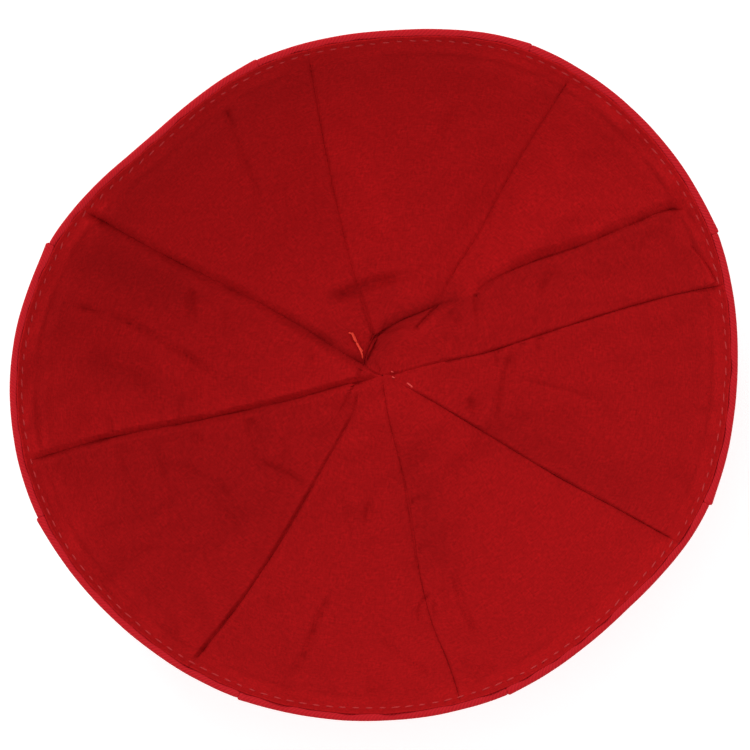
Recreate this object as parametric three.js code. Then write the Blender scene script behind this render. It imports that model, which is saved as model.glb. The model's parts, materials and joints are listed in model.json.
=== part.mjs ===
// Eight-gore skullcap of lined twill, lying on its crown with its mouth up.
// Millimetres, +Z up. The outer shell and the lining are eight gores each, every gore
// a closed wall of its own. The origin is below the middle of the outline, on the
// plane that the crown rests on.
import * as THREE from 'three';

const DEG = Math.PI / 180;

// ---- The bowl ----------------------------------------------------------------
const CAP_DEPTH = 44; // crown to rim, on average
const MEAN_RADIUS = 86.5; // of the rim
const REST_SHARE = 0.22; // share of the rim radius that lies flat on the crown
const RIM_SLOPE = 66 * DEG; // how steeply the wall stands at the rim
const RIM_DROP = 0.7; // sinking of the rim for each millimetre that it spreads
const TIP_RADIUS = 0.9; // where the gores' points stop short of the crown's centre

// ---- The cloth ---------------------------------------------------------------
const SHELL_WALL = 1.0;
const LINING_WALL = 1.0;
const LAYER_GAP = 0.35; // between the shell and the lining
const SEAM_GAP = 0.3; // between two gores of one layer
const HEM_WIDTH = 1.2; // turned-in hem that shows inside the rim, along the wall
const HEM_STEP = 0.3; // length of wall in which the hem thickens
const EDGE_ROUND = 0.4; // roundness of the hem's edge and of the shell's seams
const SEAM_ROUND_WIDTH = 2.2; // strip along a seam in which the shell rolls in
const CORNER_REACH = 4; // length along the rim over which a folded corner stands out
const LINING_PUFF = 0.6; // swelling of the lining halfway between its seams

const LINING_BACK = SHELL_WALL + LAYER_GAP; // depth in the wall of the lining's back
const LINING_FACE = LINING_BACK + LINING_WALL; // depth of its visible face

// ---- Lattice -----------------------------------------------------------------
const WALL_ROWS = 9; // from the flat crown up to the hem
const SHELL_COLUMNS = 6; // across a shell gore, between its rolled seam strips
const LINING_COLUMNS = 8; // across a lining gore without folds

// One row for each shell gore, counterclockwise: the angle of its clockwise seam, the
// rim's radius at that seam and halfway along the gore, and how far the gore's folded
// corner stands out past its neighbour there.
const SHELL_GORES = [
  { seam: 22.4, seamRadius: 89.2, midRadius: 89.2, corner: 0.5 },
  { seam: 65.1, seamRadius: 88.1, midRadius: 83.4, corner: 0.3 },
  { seam: 111.7, seamRadius: 81.9, midRadius: 80.4, corner: 0.3 },
  { seam: 158.9, seamRadius: 86.9, midRadius: 90.8, corner: 0.7 },
  { seam: 203.2, seamRadius: 91.3, midRadius: 89.0, corner: 0.5 },
  { seam: 246.4, seamRadius: 87.2, midRadius: 85.5, corner: 0.45 },
  { seam: 291.6, seamRadius: 84.9, midRadius: 83.8, corner: 0.35 },
  { seam: 338.0, seamRadius: 86.9, midRadius: 87.4, corner: 0.6 },
];

// One row for each lining gore, counterclockwise: the angle of its clockwise seam at
// the rim, and how far that seam bows sideways (counterclockwise) at half its length.
const LINING_GORES = [
  { seam: 14.0, bow: 0 },
  { seam: 57.2, bow: -1.5 },
  { seam: 102.6, bow: 1.4 },
  { seam: 151.4, bow: 0 },
  { seam: 194.3, bow: 0 },
  { seam: 236.8, bow: 1.6 },
  { seam: 283.8, bow: -2.5 },
  { seam: 330.3, bow: 0 },
];

// The lining's main folds, one row each: its gore (1 to 8), where it would reach the
// crown and the rim as a part of the gore's width, the shares of the radius that it
// runs between, its height and its full width.
const LINING_FOLDS = [
  { gore: 1, crownPart: 0.95, rimPart: 0.28, from: 0.12, to: 0.97, height: 1.8, width: 5 },
  { gore: 3, crownPart: 0.7, rimPart: 0.32, from: 0.5, to: 0.95, height: 0.6, width: 7 },
  { gore: 4, crownPart: 0.9, rimPart: 0.3, from: 0.3, to: 0.92, height: 1.0, width: 5 },
  { gore: 6, crownPart: 0.67, rimPart: 0.33, from: 0.5, to: 0.95, height: 1.0, width: 5 },
];

const SHELL_COLOUR = '#b4141c';
const LINING_COLOUR = '#8c1013';

// A smooth closed curve through values at given angles: a cubic on each stretch, with
// the slope at each value taken from its two neighbours.
function periodicValue(stops, angle) {
  const count = stops.length;
  const stopAt = (index) => {
    const turns = Math.floor(index / count);
    const stop = stops[index - turns * count];
    return { angle: stop.angle + 360 * turns, value: stop.value };
  };
  const slopeAt = (index) => {
    const before = stopAt(index - 1);
    const after = stopAt(index + 1);
    return (after.value - before.value) / (after.angle - before.angle);
  };
  const wrapped = THREE.MathUtils.euclideanModulo(angle - stops[0].angle, 360) + stops[0].angle;
  let index = 0;
  while (stopAt(index + 1).angle <= wrapped) index += 1;
  const start = stopAt(index);
  const end = stopAt(index + 1);
  const span = end.angle - start.angle;
  const t = (wrapped - start.angle) / span;
  const rise = t * t * (3 - 2 * t);
  const startPull = t * (1 - t) * (1 - t) * span * slopeAt(index);
  const endPull = t * t * (t - 1) * span * slopeAt(index + 1);
  return start.value * (1 - rise) + end.value * rise + startPull + endPull;
}

// The angle at which the gore after this one begins.
function nextSeam(gores, index) {
  return index + 1 < gores.length ? gores[index + 1].seam : gores[0].seam + 360;
}

const RIM_STOPS = SHELL_GORES.flatMap((gore, index) => [
  { angle: gore.seam, value: gore.seamRadius },
  { angle: (gore.seam + nextSeam(SHELL_GORES, index)) / 2, value: gore.midRadius },
]);

function rimRadius(angle) {
  return periodicValue(RIM_STOPS, angle);
}

// Outer surface of the bowl at a share of the rim radius: a flat crown, then a wall
// that curves up as the arc of a circle.
function bowlPoint(share, angle) {
  const radius = rimRadius(angle);
  const rimHeight = CAP_DEPTH - RIM_DROP * (radius - MEAN_RADIUS);
  const climb = Math.max(0, (share - REST_SHARE) / (1 - REST_SHARE)) * Math.sin(RIM_SLOPE);
  const height = rimHeight * (1 - Math.sqrt(1 - climb * climb)) / (1 - Math.cos(RIM_SLOPE));
  const x = share * radius * Math.cos(angle * DEG);
  const y = share * radius * Math.sin(angle * DEG);
  return new THREE.Vector3(x, y, height);
}

// A point at a depth inside the wall, measured square to the bowl's outer surface.
function wallPoint(share, angle, depth) {
  const shareStep = 1e-4;
  const angleStep = 1e-2;
  const at = bowlPoint(share, angle);
  const up = at.clone().sub(bowlPoint(share - shareStep, angle));
  const along = bowlPoint(share, angle + angleStep).sub(at);
  const inward = up.cross(along).normalize();
  return at.addScaledVector(inward, depth);
}

// Shares of the radius from the gores' points to the hem, evenly spaced up the wall.
function rowShares() {
  const hemShare = 1 - HEM_WIDTH * Math.cos(RIM_SLOPE) / MEAN_RADIUS;
  const shares = [TIP_RADIUS / MEAN_RADIUS, REST_SHARE / 3, REST_SHARE * 2 / 3, REST_SHARE];
  for (let row = 1; row <= WALL_ROWS; row += 1) {
    const climbed = Math.sin(RIM_SLOPE * row / WALL_ROWS) / Math.sin(RIM_SLOPE);
    shares.push(REST_SHARE + (hemShare - REST_SHARE) * climbed);
  }
  return shares;
}

// A share of the radius that lies a length of wall below another, near the rim.
function belowOnWall(share, length) {
  return share - length * Math.cos(RIM_SLOPE) / MEAN_RADIUS;
}

// An angle moved sideways by a length, at a share of the radius.
function shiftAngle(angle, share, length) {
  const reach = Math.min(0.9, length / (share * MEAN_RADIUS));
  return angle + Math.asin(reach) / DEG;
}

// A closed wall from a lattice of points, columns[column][row] = { back, face }.
function closedWall(columns) {
  const columnCount = columns.length;
  const rowCount = columns[0].length;
  const positions = [];
  for (const column of columns) {
    for (const point of column) positions.push(...point.back.toArray(), ...point.face.toArray());
  }
  const back = (column, row) => 2 * (column * rowCount + row);
  const face = (column, row) => back(column, row) + 1;
  const triangles = [];
  const quad = (a, b, c, d) => triangles.push(a, b, c, a, c, d);
  for (let column = 0; column + 1 < columnCount; column += 1) {
    for (let row = 0; row + 1 < rowCount; row += 1) {
      quad(back(column, row), back(column + 1, row), back(column + 1, row + 1), back(column, row + 1));
      quad(face(column, row), face(column, row + 1), face(column + 1, row + 1), face(column + 1, row));
    }
    const top = rowCount - 1;
    quad(back(column, 0), face(column, 0), face(column + 1, 0), back(column + 1, 0));
    quad(back(column, top), back(column + 1, top), face(column + 1, top), face(column, top));
  }
  const last = columnCount - 1;
  for (let row = 0; row + 1 < rowCount; row += 1) {
    quad(back(0, row), back(0, row + 1), face(0, row + 1), face(0, row));
    quad(back(last, row), face(last, row), face(last, row + 1), back(last, row + 1));
  }
  const geometry = new THREE.BufferGeometry();
  geometry.setAttribute('position', new THREE.Float32BufferAttribute(positions, 3));
  geometry.setIndex(triangles);
  geometry.computeVertexNormals();
  return geometry;
}

// Rows of a shell gore: its share of the radius and the depths of its outer and inner
// sides. The last rows thicken the wall into the rolled hem and round its edge.
function shellRows() {
  const rows = rowShares().map((share) => ({ share, outer: 0, inner: SHELL_WALL }));
  const hemStart = rows[rows.length - 1].share;
  const edgeStart = belowOnWall(1, EDGE_ROUND);
  rows.push({ share: belowOnWall(hemStart, -HEM_STEP), outer: 0, inner: LINING_FACE });
  rows.push({ share: edgeStart, outer: 0, inner: LINING_FACE });
  rows.push({ share: 1, outer: EDGE_ROUND, inner: LINING_FACE - EDGE_ROUND });
  return rows;
}

// Columns across a shell gore at a share of the radius: the two seam edges, the two
// inner edges of the strips that roll in at the seams, and an even spread between.
function shellColumnAngles(start, end, share) {
  const startEdge = shiftAngle(start, share, SEAM_GAP / 2);
  const endEdge = shiftAngle(end, share, -SEAM_GAP / 2);
  const roll = Math.min(SEAM_ROUND_WIDTH / (share * MEAN_RADIUS) / DEG, (endEdge - startEdge) / 6);
  const angles = [startEdge];
  for (let column = 0; column <= SHELL_COLUMNS; column += 1) {
    const part = column / SHELL_COLUMNS;
    angles.push(THREE.MathUtils.lerp(startEdge + roll, endEdge - roll, part));
  }
  angles.push(endEdge);
  return angles;
}

function shellGore(index) {
  const gore = SHELL_GORES[index];
  const end = nextSeam(SHELL_GORES, index);
  const lastColumn = SHELL_COLUMNS + 2;
  const columns = Array.from({ length: lastColumn + 1 }, () => []);
  for (const row of shellRows()) {
    shellColumnAngles(gore.seam, end, row.share).forEach((angle, column) => {
      const isSeam = column === 0 || column === lastColumn;
      const outer = isSeam ? Math.max(row.outer, EDGE_ROUND) : row.outer;
      const fromSeam = (angle - gore.seam) * DEG * MEAN_RADIUS;
      const standOut = gore.corner * Math.exp(-fromSeam / CORNER_REACH) * row.share ** 8;
      const share = row.share + standOut / MEAN_RADIUS;
      const back = wallPoint(share, angle, outer);
      const face = wallPoint(share, angle, row.inner);
      columns[column].push({ back, face });
    });
  }
  return closedWall(columns);
}

// The line of a lining seam: straight from rim to crown, with its sideways bow.
function liningSeamAngle(gore, turn, share) {
  return gore.seam + turn + 4 * gore.bow * (1 - share) / MEAN_RADIUS / DEG;
}

// Lines that the columns of a lining gore follow from the crown to the rim, as parts of
// the gore's width: an even spread, or one split at the fold with the fold's two feet.
function liningColumnParts(fold, share, width) {
  if (!fold) {
    return Array.from({ length: LINING_COLUMNS + 1 }, (_, column) => ({
      part: column / LINING_COLUMNS,
      lift: 0,
    }));
  }
  const ridge = THREE.MathUtils.lerp(fold.crownPart, fold.rimPart, share);
  const foot = Math.min(fold.width / 2 / width, 0.4 * Math.min(ridge, 1 - ridge));
  const run = THREE.MathUtils.clamp((share - fold.from) / (fold.to - fold.from), 0, 1);
  const lift = fold.height * Math.sqrt(Math.sin(Math.PI * run));
  const sideColumns = LINING_COLUMNS / 2;
  const parts = [];
  for (let column = 0; column < sideColumns; column += 1) {
    parts.push({ part: (ridge - foot) * column / (sideColumns - 1), lift: 0 });
  }
  parts.push({ part: ridge, lift });
  for (let column = 0; column < sideColumns; column += 1) {
    const across = column / (sideColumns - 1);
    parts.push({ part: THREE.MathUtils.lerp(ridge + foot, 1, across), lift: 0 });
  }
  return parts;
}

function liningGore(index) {
  const gore = LINING_GORES[index];
  const nextIndex = (index + 1) % LINING_GORES.length;
  const next = LINING_GORES[nextIndex];
  const turn = nextIndex === 0 ? 360 : 0;
  const fold = LINING_FOLDS.find((row) => row.gore === index + 1);
  const shares = rowShares();
  shares[shares.length - 1] = belowOnWall(shares[shares.length - 1], SEAM_GAP);
  const columns = Array.from({ length: LINING_COLUMNS + 1 }, () => []);
  for (const share of shares) {
    const start = shiftAngle(liningSeamAngle(gore, 0, share), share, SEAM_GAP / 2);
    const end = shiftAngle(liningSeamAngle(next, turn, share), share, -SEAM_GAP / 2);
    const width = (end - start) * DEG * share * MEAN_RADIUS;
    const hold = Math.min(1, (1 - share) / 0.1) * Math.min(1, share / REST_SHARE);
    liningColumnParts(fold, share, width).forEach(({ part, lift }, column) => {
      const angle = THREE.MathUtils.lerp(start, end, part);
      const puff = LINING_PUFF * Math.sin(Math.PI * part) * hold + lift;
      const back = wallPoint(share, angle, LINING_BACK + puff);
      const face = wallPoint(share, angle, LINING_FACE + puff);
      columns[column].push({ back, face });
    });
  }
  return closedWall(columns);
}

// ---- Assembly ----------------------------------------------------------------
const shellTwill = { color: SHELL_COLOUR, roughness: 0.55, metalness: 0 };
const liningCotton = { color: LINING_COLOUR, roughness: 0.85, metalness: 0 };

const cap = new THREE.Group();

function addPiece(name, geometry, look) {
  const mesh = new THREE.Mesh(geometry, new THREE.MeshStandardMaterial(look));
  mesh.name = name;
  cap.add(mesh);
}

SHELL_GORES.forEach((_, index) => addPiece(`shell_gore_${index + 1}`, shellGore(index), shellTwill));
LINING_GORES.forEach((_, index) => addPiece(`lining_gore_${index + 1}`, liningGore(index), liningCotton));

// The crown's centre is not the middle of the outline, so the cap is moved until the
// middle of its box stands over the origin.
const box = new THREE.Box3().setFromObject(cap);
const middle = box.getCenter(new THREE.Vector3());
cap.position.set(-middle.x, -middle.y, -box.min.z);

export default cap;
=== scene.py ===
"""The looks of a gored skullcap that lies on its crown with its mouth up.

The cap has an outer shell of red twill and a lining of red cotton, eight gores each. The
shell's edge is turned over the rim into a narrow roll, and the lining's turned edge is felled
to it with running stitches. Tables and names in millimetres say so; meshes are in metres, in
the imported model's frame.
"""

import json
import math
from typing import NamedTuple

import bpy
import numpy as np
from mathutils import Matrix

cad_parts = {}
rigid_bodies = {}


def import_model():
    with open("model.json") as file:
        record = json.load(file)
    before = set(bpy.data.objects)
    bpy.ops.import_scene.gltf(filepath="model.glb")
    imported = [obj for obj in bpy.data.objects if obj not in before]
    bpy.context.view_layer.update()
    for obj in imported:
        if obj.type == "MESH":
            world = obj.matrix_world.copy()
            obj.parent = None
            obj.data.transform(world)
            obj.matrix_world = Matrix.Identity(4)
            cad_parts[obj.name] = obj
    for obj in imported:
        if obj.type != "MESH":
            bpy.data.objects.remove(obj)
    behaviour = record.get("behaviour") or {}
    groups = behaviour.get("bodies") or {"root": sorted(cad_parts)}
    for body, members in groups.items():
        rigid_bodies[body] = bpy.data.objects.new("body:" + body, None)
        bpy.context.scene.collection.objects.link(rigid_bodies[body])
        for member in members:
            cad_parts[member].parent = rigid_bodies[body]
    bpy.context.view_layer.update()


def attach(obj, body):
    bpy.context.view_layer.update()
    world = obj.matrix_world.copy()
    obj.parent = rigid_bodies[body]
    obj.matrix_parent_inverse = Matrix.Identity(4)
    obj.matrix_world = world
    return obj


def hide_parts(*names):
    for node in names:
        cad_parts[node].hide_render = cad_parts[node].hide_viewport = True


for starter in list(bpy.data.objects):
    bpy.data.objects.remove(starter)
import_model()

bl_info = {
    "name": "Gored skullcap",
    "version": (1, 0, 0),
    "blender": (4, 5, 0),
    "location": "3D View > Sidebar > Skullcap",
    "description": "Builds a lined eight-gore skullcap with a rolled hem and running stitches",
    "category": "Add Mesh",
}

MM = 0.001
PER_CM = 100  # turns a count to the centimetre, as cloth is counted, into one to the metre

# ---- Cloth and thread, in metres, as the add-on's properties first have them ---------------
TWILL = 0.0005  # thickness of the shell's cloth
ROLL = 0.0018  # thickness of the rolled hem
TURN_IN = 0.003  # strip of twill turned in behind the roll
SEAM_ROUND = 0.00045  # roundness of the shell's edges at its seams
SEAM_GAP = 0.00004  # between two gores of the shell
STITCH_PITCH = 0.00327  # from one running stitch to the next
STITCH_LENGTH = 0.0021
THREAD = 0.00026  # thickness of one strand of the sewing thread

# ---- The bowl, in millimetres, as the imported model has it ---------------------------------
CAP_DEPTH = 44.0  # crown to rim, on average
MEAN_RADIUS = 86.5  # of the rim
REST_SHARE = 0.22  # share of the rim radius that lies flat on the crown
RIM_SLOPE = math.radians(66)  # how steeply the wall stands at the rim
RIM_DROP = 0.7  # sinking of the rim for each millimetre that it spreads
CORNER_REACH = 4.0  # length along the rim over which a folded corner stands out

# One row for each shell gore, counterclockwise: the angle of its clockwise seam in degrees,
# the rim's radius at that seam and halfway along the gore, and how far the gore's folded
# corner stands out past its neighbour there.
SHELL_GORES = (
    {"seam": 22.4, "seam_radius": 89.2, "mid_radius": 89.2, "corner": 0.5},
    {"seam": 65.1, "seam_radius": 88.1, "mid_radius": 83.4, "corner": 0.3},
    {"seam": 111.7, "seam_radius": 81.9, "mid_radius": 80.4, "corner": 0.3},
    {"seam": 158.9, "seam_radius": 86.9, "mid_radius": 90.8, "corner": 0.7},
    {"seam": 203.2, "seam_radius": 91.3, "mid_radius": 89.0, "corner": 0.5},
    {"seam": 246.4, "seam_radius": 87.2, "mid_radius": 85.5, "corner": 0.45},
    {"seam": 291.6, "seam_radius": 84.9, "mid_radius": 83.8, "corner": 0.35},
    {"seam": 338.0, "seam_radius": 86.9, "mid_radius": 87.4, "corner": 0.6},
)

# ---- The lining, in millimetres ------------------------------------------------------------
LINING_DEPTH = 3.9  # of the lining's face under the bowl's outer surface
LINING_HEM_DEPTH = 2.2  # and along the hem, where the roll holds it
LINING_CLOTH = 0.3  # thickness
LINING_EDGE_IN = 1.72  # in plan, from the rim's outline to the lining's edge
EDGE_ROUND = 0.34  # roundness of the lining's folded edge
EDGE_BACK = 0.9  # how high its back comes in it, as a share of that
EDGE_STEPS = 5  # rows of the mesh in it
EDGE_WAVER = ((0.03, 19, 0), (0.04, 37, 1), (0.04, 61, 2))  # height, waves to a turn and phase
PUFF = 0.5  # swelling of a gore halfway between its seams
SLACK = ((0.5, 26, 5), (0.24, 9, 6), (0.06, 3.2, 7))  # ripples' height, wavelength and seed
SWELL_REACH = 2.5  # how many times its own width a swelling or crest is followed
UNEVEN = 0.16  # share by which a fold's depth changes along it
SHORTEST_FADE = 0.01  # of a fold that ends at once
END_REACH = 1.5  # how far such an end still shows beside and past it
DEEPEST = -2.8  # where the lining comes to rest on the shell
HEM_DEEPEST = -0.06  # and along the hem, on the strip turned in behind the roll

# Distances in plan from the rim's outline, inwards, between which
PLAIN_FROM_HEM = (4, 9)  # the hem's depth turns into the lining's plain one
FREE_FROM_HEM = (1.8, 5.5)  # the folds grow that the hem holds flat
DEEP_FROM_HEM = (3.3, 6)  # the strip behind the lining ends, so that it can lie deeper

HEM_RIDGE_IN = 6.0  # in plan, from the outline to the end of the hem's turned-in allowance
HEM_RIDGE = 0.6  # its height
HEM_RIDGE_SOFT = 0.7  # half the width over which it dies away
STITCH_IN = 2.85  # in plan, from the outline to the line of running stitches
STITCH_DIP, STITCH_DIP_REACH = 0.12, 0.5  # how far the stitches pull the cotton in, and where
PUCKER, PUCKER_REACH = 0.1, 2.6  # height of the puckers that they make, and how far they go

TUFT = (0.5, -1.0)  # where the lining's seams meet, in plan from the crown's centre


class Line(NamedTuple):
    """A seam, fold or dent of the lining, in plan from the crown's centre."""

    route: tuple  # points that it runs through, outwards
    groove: float = 0.0  # the furrow's depth
    left: float = 1.0  # width of its flank counterclockwise of the route
    right: float = 1.0  # and of its other flank
    fade: tuple = (0, 0)  # lengths over which it grows at its start and dies away at its end
    lift: float = 0.0  # how far the cloth on the left stands over the right, or lies under it
    spread: float = 5.0  # how far that swelling reaches from its crisp lip
    crest: float = 0.0  # height of a broad ridge under both flanks, or of a hollow
    reach: float = 5.0  # half its width


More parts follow.
